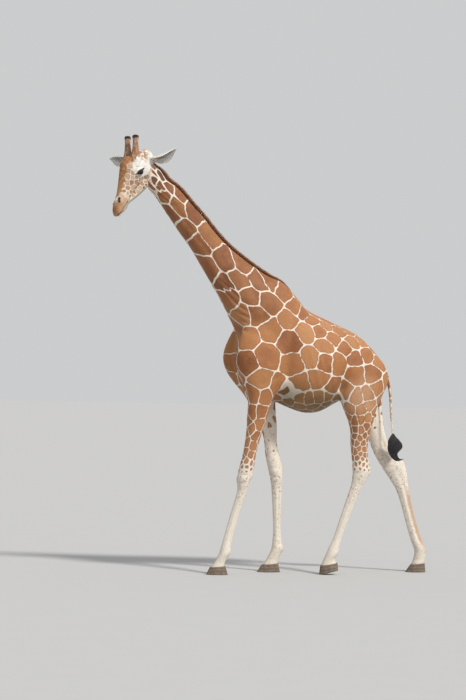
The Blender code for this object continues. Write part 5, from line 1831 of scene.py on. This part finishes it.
def grow_mane(tree):
    crest, outward = nape()
    run = np.append(0, np.linalg.norm(np.diff(crest, axis=0), axis=1).cumsum())
    total = run[-1]
    draw = np.random.default_rng(21)
    count = MANE_LOCKS
    s = np.sort(draw.uniform(0.085, total, count))
    side = np.clip(draw.normal(0, 0.0085, count), -MANE_HALF, MANE_HALF)
    at = sampled(s, run, crest)
    out = unit(sampled(s, run, outward))
    back = unit(sampled(s, run, np.gradient(crest, run, axis=0)))
    across = np.cross(out, back)
    ends = step(s, 0.06, 0.3) * step(s, total, total - 0.34)
    above = at + across * side[:, None] + out * 0.01
    roots = np.array([tree.find_nearest(Vector(point))[0] for point in above])
    wave = 0.5 + 0.5 * np.sin(s * 2 * math.pi / 0.085 + 2 * np.sin(s * 9.0))
    tall = MANE_HEIGHT * (0.14 + 0.8 * ends) * (1 - 0.22 * (side / MANE_HALF) ** 2)
    tall *= draw.uniform(0.88, 1.06, count)
    tall *= 0.94 + 0.08 * wave
    splay = across * (side / MANE_HALF * 0.2)[:, None] + draw.normal(0, 0.035, (count, 3))
    aim = unit(out + back * (0.3 + 0.12 * wave)[:, None] + splay)
    # the locks stand: their own 'out' is the direction along the nape, turned square to the hair
    hair = locks(roots, unit(np.cross(across, aim)), aim, tall, draw.uniform(0.0016, 0.003, count),
                 draw.normal(0.0, 0.05, count), 3, draw.normal(-0.1, 0.08, count), 0.45, 0.0)
    spots = np.stack([0.01 + 0.98 * s / total, 0.5 + side / 0.05], 1)
    material = hair_material("mane_hair", *MANE_COLOURS)
    piece = coat_piece("mane_locks", "mane", hair, spots, material, tone=draw.random(count))
    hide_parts("mane")


def grow_tail_tuft():
    rows = catmull(body_rows(TUFT), 12)
    middle = (rows[:, 0:3] + rows[:, 3:6]) / 2
    half = np.linalg.norm(rows[:, 0:3] - rows[:, 3:6], axis=1) / 2
    tilt = unit(rows[:, 0:3] - rows[:, 3:6])
    draw = np.random.default_rng(22)
    count = TAIL_LOCKS
    rings = TAIL_RINGS
    # locks start along the end of the tail and wave down inside the tuft's outline
    start = draw.uniform(0.0, 0.55, count)
    end = np.clip(start + draw.uniform(0.3, 0.55, count), 0, 1)
    turn = draw.uniform(0, 2 * math.pi, count)
    far = draw.random(count) ** 0.35
    wave = draw.uniform(0, 2 * math.pi, count)
    where = np.linspace(0, 1, len(middle))
    path = []
    for t in np.linspace(0, 1, rings + 1):
        place = start + (end - start) * t
        spread = np.interp(place, where, half) * far * min(1.0, 0.35 + 1.6 * t)
        twist = turn + 0.9 * np.sin(3.0 * t + wave) * 0.5
        side = sampled(place, where, tilt)
        off = side * np.cos(twist)[:, None] + np.array([0.0, 0.75, 0.0]) * np.sin(twist)[:, None]
        sway = side * (0.004 * np.sin(7 * t + wave))[:, None]
        path.append(sampled(place, where, middle) + off * spread[:, None] + sway)
    levels = []
    for k in range(rings):
        ahead = unit(path[k + 1] - path[k])
        one = unit(np.cross(ahead, np.array([0.0, 1.0, 0.2])))
        two = np.cross(ahead, one)
        wide = 0.0015 * (1 - 0.7 * (k / rings) ** 2)
        levels += ring_of(path[k], one, two, wide, wide * 1.1)
    levels.append(path[-1])
    points = np.stack(levels, 1).reshape(-1, 3)
    faces, share = lock_faces(count, rings)
    spots = np.stack([0.01 + 0.98 * turn / (2 * math.pi), 0.01 + 0.98 * (1 - start)], 1)
    material = hair_material("tail_hair", *TAIL_COLOURS, 0.42)
    piece = coat_piece("tail_locks", "tail_hair", (points, faces, share), spots, material,
                       tone=draw.random(count))
    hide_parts("tail_tuft")


def grow_ear_hair(material):
    """Fringe on the rims and long hairs inside the cup of each ear."""
    draw = np.random.default_rng(23)
    count = EAR_HAIRS
    for word, hand in HAND.items():
        aim = ear_frame(hand, word)[1]
        t = draw.uniform(0.03, 0.99, count)
        on_rim = draw.random(count) < 0.62
        s = np.where(on_rim, np.sign(draw.random(count) - 0.5) * draw.uniform(0.93, 1.0, count),
                     draw.uniform(-0.95, 0.95, count))
        at, inward, outer = ear_leaf(hand, word, t, s)
        outer *= np.sign(s)[:, None]
        rim = on_rim[:, None]
        out = np.where(rim, unit(outer + inward * 0.6), inward)
        lie = np.where(rim, aim + outer * 0.5, aim * 0.8 - outer * 0.5)
        low_root = on_rim & (s * hand > 0) & (t < 0.45)
        lie = np.where(low_root[:, None], aim * 0.7 + outer * 0.9, lie)
        long = np.where(on_rim, 0.011, 0.02) * draw.uniform(0.7, 1.25, count) * (1 - 0.55 * t ** 3)
        long = np.where(low_root, long * (1 + 2.2 * (1 - t / 0.45)), long)
        hair = locks(at + inward * 0.0036, out, lie + draw.normal(0, 0.12, (count, 3)), long,
                     np.where(on_rim, 0.0018, 0.0013), np.where(on_rim, 0.18, 0.3), 2, -0.2, 0.4, 0.001)
        spots = np.stack([0.01 + 0.98 * t, 0.5 + 0.48 * s], 1)
        coat_piece("ear_hair_" + word, "hide", hair, spots, material, tone=draw.random(count))


def grow_lashes():
    """Long dark lashes on the upper lids, short ones below."""
    draw = np.random.default_rng(24)
    groups = []
    for word in HAND:
        middle, radius, outward, forward, up = eye_frame(word)
        for upper, count in ((True, LASHES), (False, LOWER_LASHES)):
            q = np.linspace(-0.92, 0.92, count) * EYE_LONG + draw.normal(0, 0.0006, count)
            arch = np.maximum(1 - (q / EYE_LONG) ** 2, 0)
            p = EYE_UP * arch * (1 - 0.3 * q / EYE_LONG) if upper else -EYE_DOWN * arch
            p = p + (0.0012 if upper else -0.0012)
            reach = radius + LID_THICK - 0.0008
            depth = np.sqrt(np.maximum(reach ** 2 - q ** 2 - p ** 2, 1e-6))
            at = middle + forward * q[:, None] + up * p[:, None] + outward * depth[:, None]
            fan = forward * (q / EYE_LONG * 0.55 + 0.2)[:, None]
            if upper:
                lie = outward * 1.0 - up * 0.42 + fan
                long = 0.029 * draw.uniform(0.75, 1.15, count)
                wide = 0.0013
            else:
                lie = outward * 0.8 - up * 0.7 + fan
                long = 0.01 * draw.uniform(0.7, 1.2, count)
                wide = 0.0009
            side = unit(np.cross(lie, np.broadcast_to(forward, lie.shape)))
            side *= np.sign((side * up).sum(1, keepdims=True))
            curl = 0.35 if upper else -0.2
            groups.append((at, side, lie, long, np.full(count, wide), np.full(count, curl), q, p))
    at, side, lie, long, wide, curl, q, p = (np.concatenate(column) for column in zip(*groups))
    hair = locks(at, side, lie + draw.normal(0, 0.05, lie.shape), long, wide, -0.12, 3, curl, 0.7, 0.0)
    spots = np.stack([0.5 + q * 16, 0.5 + p * 22], 1)
    material = hair_material("lash_hair", *LASH_COLOURS, 0.4)
    coat_piece("eye_lashes", "tail_hair", hair, spots, material, tone=draw.random(len(at)))


def grow_whiskers(tree):
    """Sparse stiff hairs on the lips and the chin."""
    draw = np.random.default_rng(25)
    count = WHISKERS
    u = draw.uniform(0.52, 0.655, count)
    turn = draw.uniform(-1.9, 1.9, count)
    centre = np.array([head_point(k, -0.045, 0.0) for k in u])
    aside = np.sin(turn)[:, None] * np.array(LEFT) - np.cos(turn)[:, None] * np.array(ABOVE)
    hits = [tree.ray_cast(Vector(p + a * 0.12), Vector(-a)) for p, a in zip(centre, aside)]
    roots, normals = (np.array([hit[k] for hit in hits]) for k in (0, 1))
    lie = np.array(ALONG) * 0.8 + aside * 0.5 + draw.normal(0, 0.15, (count, 3))
    hair = locks(roots, normals, lie, 0.026 * draw.uniform(0.5, 1.2, count), 0.0007,
                 draw.uniform(0.5, 0.9, count), 3, 0.2, 0.8, 0.001)
    spots = np.stack([(u - 0.52) / 0.135, 0.5 + turn / 4], 1)
    material = hair_material("whisker_hair", *WHISKER_COLOURS, 0.5)
    coat_piece("whiskers", "hide", hair, spots, material, tone=draw.random(count))


# ---------------------------------------------------------------- ossicones
def ossicone_material():
    """Worn tan-brown hide, streaked lengthways, with a dark bare-edged knob."""
    material, shader = new_material("ossicone_hide", 0.7, 0.3)
    n = Nodes(material)
    high = n.attribute("high")
    place = n.place()
    stretched = n.place(0.16)
    streak = n.noise(stretched, 170.0, 3.0, 0.6)
    blotch = n.noise(place, 26.0, 3.0, 0.6)
    base = n.mix(n.ramp(blotch, 0.35, 0.68), (0.36, 0.18, 0.095), (0.53, 0.34, 0.23))
    base = n.mix(n.ramp(streak, 0.45, 0.7, 0.0, 0.5), base, (0.25, 0.115, 0.058))
    ragged = n.math("ADD", high, n.math("MULTIPLY_ADD", streak, 0.1, -0.05))
    base = n.mix(n.ramp(ragged, 0.8, 0.88), base, (0.045, 0.026, 0.022))
    base = n.mix(n.ramp(ragged, 0.93, 0.99), base, (0.115, 0.105, 0.13))
    n.put(shader.inputs["Base Color"], base)
    relief = n.bump(streak, 0.6, 0.002)
    n.put(shader.inputs["Normal"], n.bump(blotch, 0.3, 0.004, relief))
    return material


def build_ossicones():
    draw = np.random.default_rng(26)
    bare = ossicone_material()
    for word, hand in HAND.items():
        foot, rise, front, across = horn_frame(hand)
        profile = [row for row in HORN_PROFILE if row[0] >= 0.0]
        profile = [(-0.12, 1.3)] + [(t, size * 0.94) for t, size in profile]
        points, faces = loft(horn_rows(hand, profile), steps=8, ring=64, side=across)
        away = points - foot
        high = away @ rise / HORN_HEIGHT
        turn = np.arctan2(away @ across, away @ front)
        radial = unit(away - (away @ rise)[:, None] * rise)
        ridge = 0.0011 * np.sin(turn * 5 + 7 * high) + 0.0008 * np.sin(turn * 3 - 11 * high + 2 * hand)
        knuckle = 0.002 * np.sin(turn * 2 + 24 * high) * bell(high - 0.88, 0.1)
        points = points + radial * ((ridge + knuckle) * step(high, 1.0, 0.93))[:, None]
        horn = mesh_piece("ossicone_core_" + word, points, faces, "ossicone", bare, high=high)
        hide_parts("ossicone_" + word)
        # short hair along the shaft, a ring of longer dark hair under the bare knob
        count = HORN_HAIRS + HORN_RING_HAIRS
        t = np.concatenate([draw.uniform(-0.05, 0.9, HORN_HAIRS), draw.uniform(0.8, 0.965, HORN_RING_HAIRS)])
        a = draw.uniform(0, 2 * math.pi, count)
        size = np.interp(t, *zip(*profile)) * HORN_RADIUS
        out = front * np.cos(a)[:, None] + across * np.sin(a)[:, None]
        roots = foot + rise * (HORN_HEIGHT * t)[:, None] + out * size[:, None]
        dark = step(t, 0.74, 0.84)
        long = np.interp(t, (0.0, 0.75, 0.88, 0.97), (0.011, 0.009, 0.011, 0.006))
        long = long * draw.uniform(0.7, 1.2, count)
        hair = locks(roots, out, rise + draw.normal(0, 0.12, (count, 3)), long, 0.0019,
                     0.05 + 0.15 * dark, 2, -0.06, COAT_FLAT, 0.0004)
        spots = np.stack([0.01 + 0.98 * a / (2 * math.pi), 0.03 + 0.95 * t], 1)
        coat_piece("ossicone_hair_" + word, "ossicone", hair, spots, bare, smooth=False, high=t)


# ---------------------------------------------------------------- eyes
def eye_material():
    material, shader = new_material("eye_wet", 0.06, 0.25)
    n = Nodes(material)
    place = n.place()
    fleck = n.noise(place, 900.0, 2.0)
    iris = n.mix(n.ramp(fleck, 0.35, 0.7), (0.02, 0.009, 0.005), (0.05, 0.022, 0.01))
    white = n.mix(n.ramp(n.attribute("ring"), 0.0, 1.0), iris, (0.03, 0.02, 0.016))
    n.put(shader.inputs["Base Color"], n.mix(n.attribute("pupil"), white, (0.003, 0.003, 0.004)))
    shader.inputs["Coat Weight"].default_value = 0.12
    shader.inputs["Coat Roughness"].default_value = 0.02
    return material


def build_eyes():
    wet = eye_material()
    for word in HAND:
        middle, radius, outward, forward, up = eye_frame(word)
        rows = []
        for t in np.linspace(0.03, math.pi - 0.03, 40):
            # the cornea stands a little out of the ball
            swell = 1 + 0.055 * bell(t, 0.55)
            at = middle + outward * (radius * swell * math.cos(t))
            rise = up * (radius * swell * math.sin(t))
            rows.append((*(at + rise), *(at - rise), radius * swell * math.sin(t), 0.0))
        points, faces = loft(rows, steps=1, ring=72, side=forward)
        away = points - middle
        q, p, out = away @ forward, away @ up, away @ outward
        pupil = step(np.hypot(q / 0.0105, p / 0.0048), 1.12, 0.88) * (out > 0)
        ring = step(np.hypot(q, p), 0.015, 0.0185)
        ball_piece = mesh_piece("eyeball_" + word, points, faces, "eye", wet, pupil=pupil, ring=ring)
        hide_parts("eye_" + word)


# ---------------------------------------------------------------- hooves
def hoof_material():
    """Dull horn: growth rings, fine upright grain, dust towards the sole."""
    material, shader = new_material("hoof_horn", 0.6, 0.35)
    n = Nodes(material)
    place = n.place()
    stretched = n.place(0.12)
    grain = n.noise(stretched, 240.0, 3.0, 0.6)
    blotch = n.noise(place, 30.0, 3.0, 0.6)
    ring = n.attribute("ring")
    base = n.mix(n.ramp(blotch, 0.3, 0.7), (0.095, 0.07, 0.052), (0.185, 0.14, 0.1))
    base = n.mix(n.ramp(grain, 0.45, 0.75, 0.0, 0.5), base, (0.06, 0.045, 0.035))
    base = n.mix(n.ramp(ring, 0.2, 1.0, 0.0, 0.35), base, (0.27, 0.21, 0.15))
    base = n.mix(n.ramp(n.attribute("low"), 0.0, 1.0, 0.0, 0.45), base, (0.33, 0.28, 0.22))
    n.put(shader.inputs["Base Color"], base)
    relief = n.bump(grain, 0.4, 0.0012)
    n.put(shader.inputs["Normal"], n.bump(blotch, 0.3, 0.003, relief))
    return material


# share of the way from the coronet to the sole, width against the middle
HOOF_PROFILE = ((0.0, 0.9), (0.03, 0.95), (0.25, 1.0), (0.6, 1.06), (0.92, 1.1), (0.985, 1.09), (1.0, 1.05))
HOOF_HALF = 0.058           # half width of a hoof
HOOF_RING = 96              # points round it


def build_hooves():
    horn = hoof_material()
    for name, (ground, front, rear, y, pitch) in HOOVES.items():
        toe, heel = ground
        length = heel - toe
        raised = length * math.tan(math.radians(pitch))
        rows = []
        for t, grow in HOOF_PROFILE:
            fore = (front[0] + (toe - front[0]) * t, y, front[1] * (1 - t))
            back = (rear[0] + (heel - rear[0]) * t, y, rear[1] * (1 - t) + raised * t)
            rows.append((*fore, *back, HOOF_HALF * grow, -0.1))
        points, faces = loft(rows, steps=7, ring=HOOF_RING)
        count = len(points) // HOOF_RING
        level = np.repeat(np.arange(count) / (count - 1), HOOF_RING)
        place = (points[:, 0] - toe) / length
        beside = points[:, 1] - y
        wave = np.sin(level * 2 * math.pi * 5.5 + 0.6 * np.sin(9 * beside / 0.05))
        squeeze = 1 + (0.01 * wave * step(level, 0.05, 0.15) * step(level, 1.0, 0.92))
        points[:, 1] = y + beside * squeeze
        # cleft between the two toes, deep in front and shallower behind
        groove = bell(beside, 0.0055)
        front_share = step(place, 0.42, 0.05) * groove
        rear_share = step(place, 0.62, 0.95) * groove
        points[:, 0] += 0.03 * front_share - 0.02 * rear_share
        split = bell(beside, 0.01) * step(place, 0.35, 0.0)
        points[:, 0] -= 0.004 * bell(np.abs(beside) - 0.02, 0.012) * step(place, 0.35, 0.05) * (1 - split)
        points[:, 2] = np.maximum(points[:, 2], 0.0)
        foot = mesh_piece(name + "_horn", points, faces, "hoof", horn, ring=0.5 + 0.5 * wave,
                          low=step(level, 0.7, 1.0))
        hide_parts(name)


# ---------------------------------------------------------------- the animal
FLESH_NODES = ["trunk", "neck", "head", "tail", "ear_left", "ear_right"]
FLESH_NODES += [leg + part for leg in LEG_TABLES for part in ("_upper", "_lower")]

skin_body = build_skin()
mark(skin_body)
skin = mesh_piece("skin", skin_body.points, skin_body.quads, "hide", HIDE, **skin_body.marks)
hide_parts(*FLESH_NODES)

SURFACE = BVHTree.FromPolygons(skin_body.points.tolist(), skin_body.quads.tolist())
grow_coat(skin_body)
grow_mane(SURFACE)
grow_tail_tuft()
grow_ear_hair(hair_material("ear_hair_pale", *EAR_COLOURS))
grow_lashes()
grow_whiskers(SURFACE)
build_ossicones()
build_eyes()
build_hooves()


# ---------------------------------------------------------------- floor, light, camera
FLOOR_HALF = 400.0


def floor():
    mesh = bpy.data.meshes.new("floor")
    corners = [(x * FLOOR_HALF, y * FLOOR_HALF, 0) for x, y in ((-1, -1), (1, -1), (1, 1), (-1, 1))]
    mesh.from_pydata(corners, [], [(0, 1, 2, 3)])
    plane = bpy.data.objects.new("floor", mesh)
    bpy.context.scene.collection.objects.link(plane)
    mesh.materials.append(stage_material())


def sun(direction, strength, angle, colour):
    """Soft sun that shines from a direction."""
    data = bpy.data.lights.new("sun", "SUN")
    data.energy = strength
    data.angle = angle
    data.color = colour
    lamp = bpy.data.objects.new("sun", data)
    lamp.rotation_euler = Vector(direction).to_track_quat("Z", "Y").to_euler()
    bpy.context.scene.collection.objects.link(lamp)


def lighting():
    """A broad soft sun, and a pale world as bright as the lit floor."""
    scene = bpy.context.scene
    world = bpy.data.worlds.new("studio")
    world.use_nodes = True
    world.node_tree.nodes["Background"].inputs[0].default_value = (0.6, 0.605, 0.61, 1)
    world.node_tree.nodes["Background"].inputs[1].default_value = 1.0
    scene.world = world
    sun((0.42, -0.6, 0.72), 3.1, math.radians(9), (1.0, 0.97, 0.92))
    scene.view_settings.view_transform = "Standard"
    scene.view_settings.look = "None"
    scene.view_settings.exposure = 0.0


CAMERA_AT = np.array([-5.2248, -21.5192, 1.8])     # eye height, level ground, 22 m away
CAMERA_TO = np.array([-0.6507, 0.0, 2.1185])
CAMERA_ROLL = math.radians(1.0)
CAMERA_LENS = 119.1          # on a 36 mm long side


def camera():
    data = bpy.data.cameras.new("camera")
    data.sensor_width = 36.0
    data.lens = CAMERA_LENS
    data.clip_end = 200.0
    body = bpy.data.objects.new("camera", data)
    place = Vector(CAMERA_AT + SHIFT)
    target = Vector(CAMERA_TO + SHIFT)
    turn = (target - place).to_track_quat("-Z", "Y").to_matrix()
    turn = turn @ Matrix.Rotation(CAMERA_ROLL, 3, "Z")
    body.matrix_world = Matrix.Translation(place) @ turn.to_4x4()
    bpy.context.scene.collection.objects.link(body)
    bpy.context.scene.camera = body


floor()
lighting()
camera()
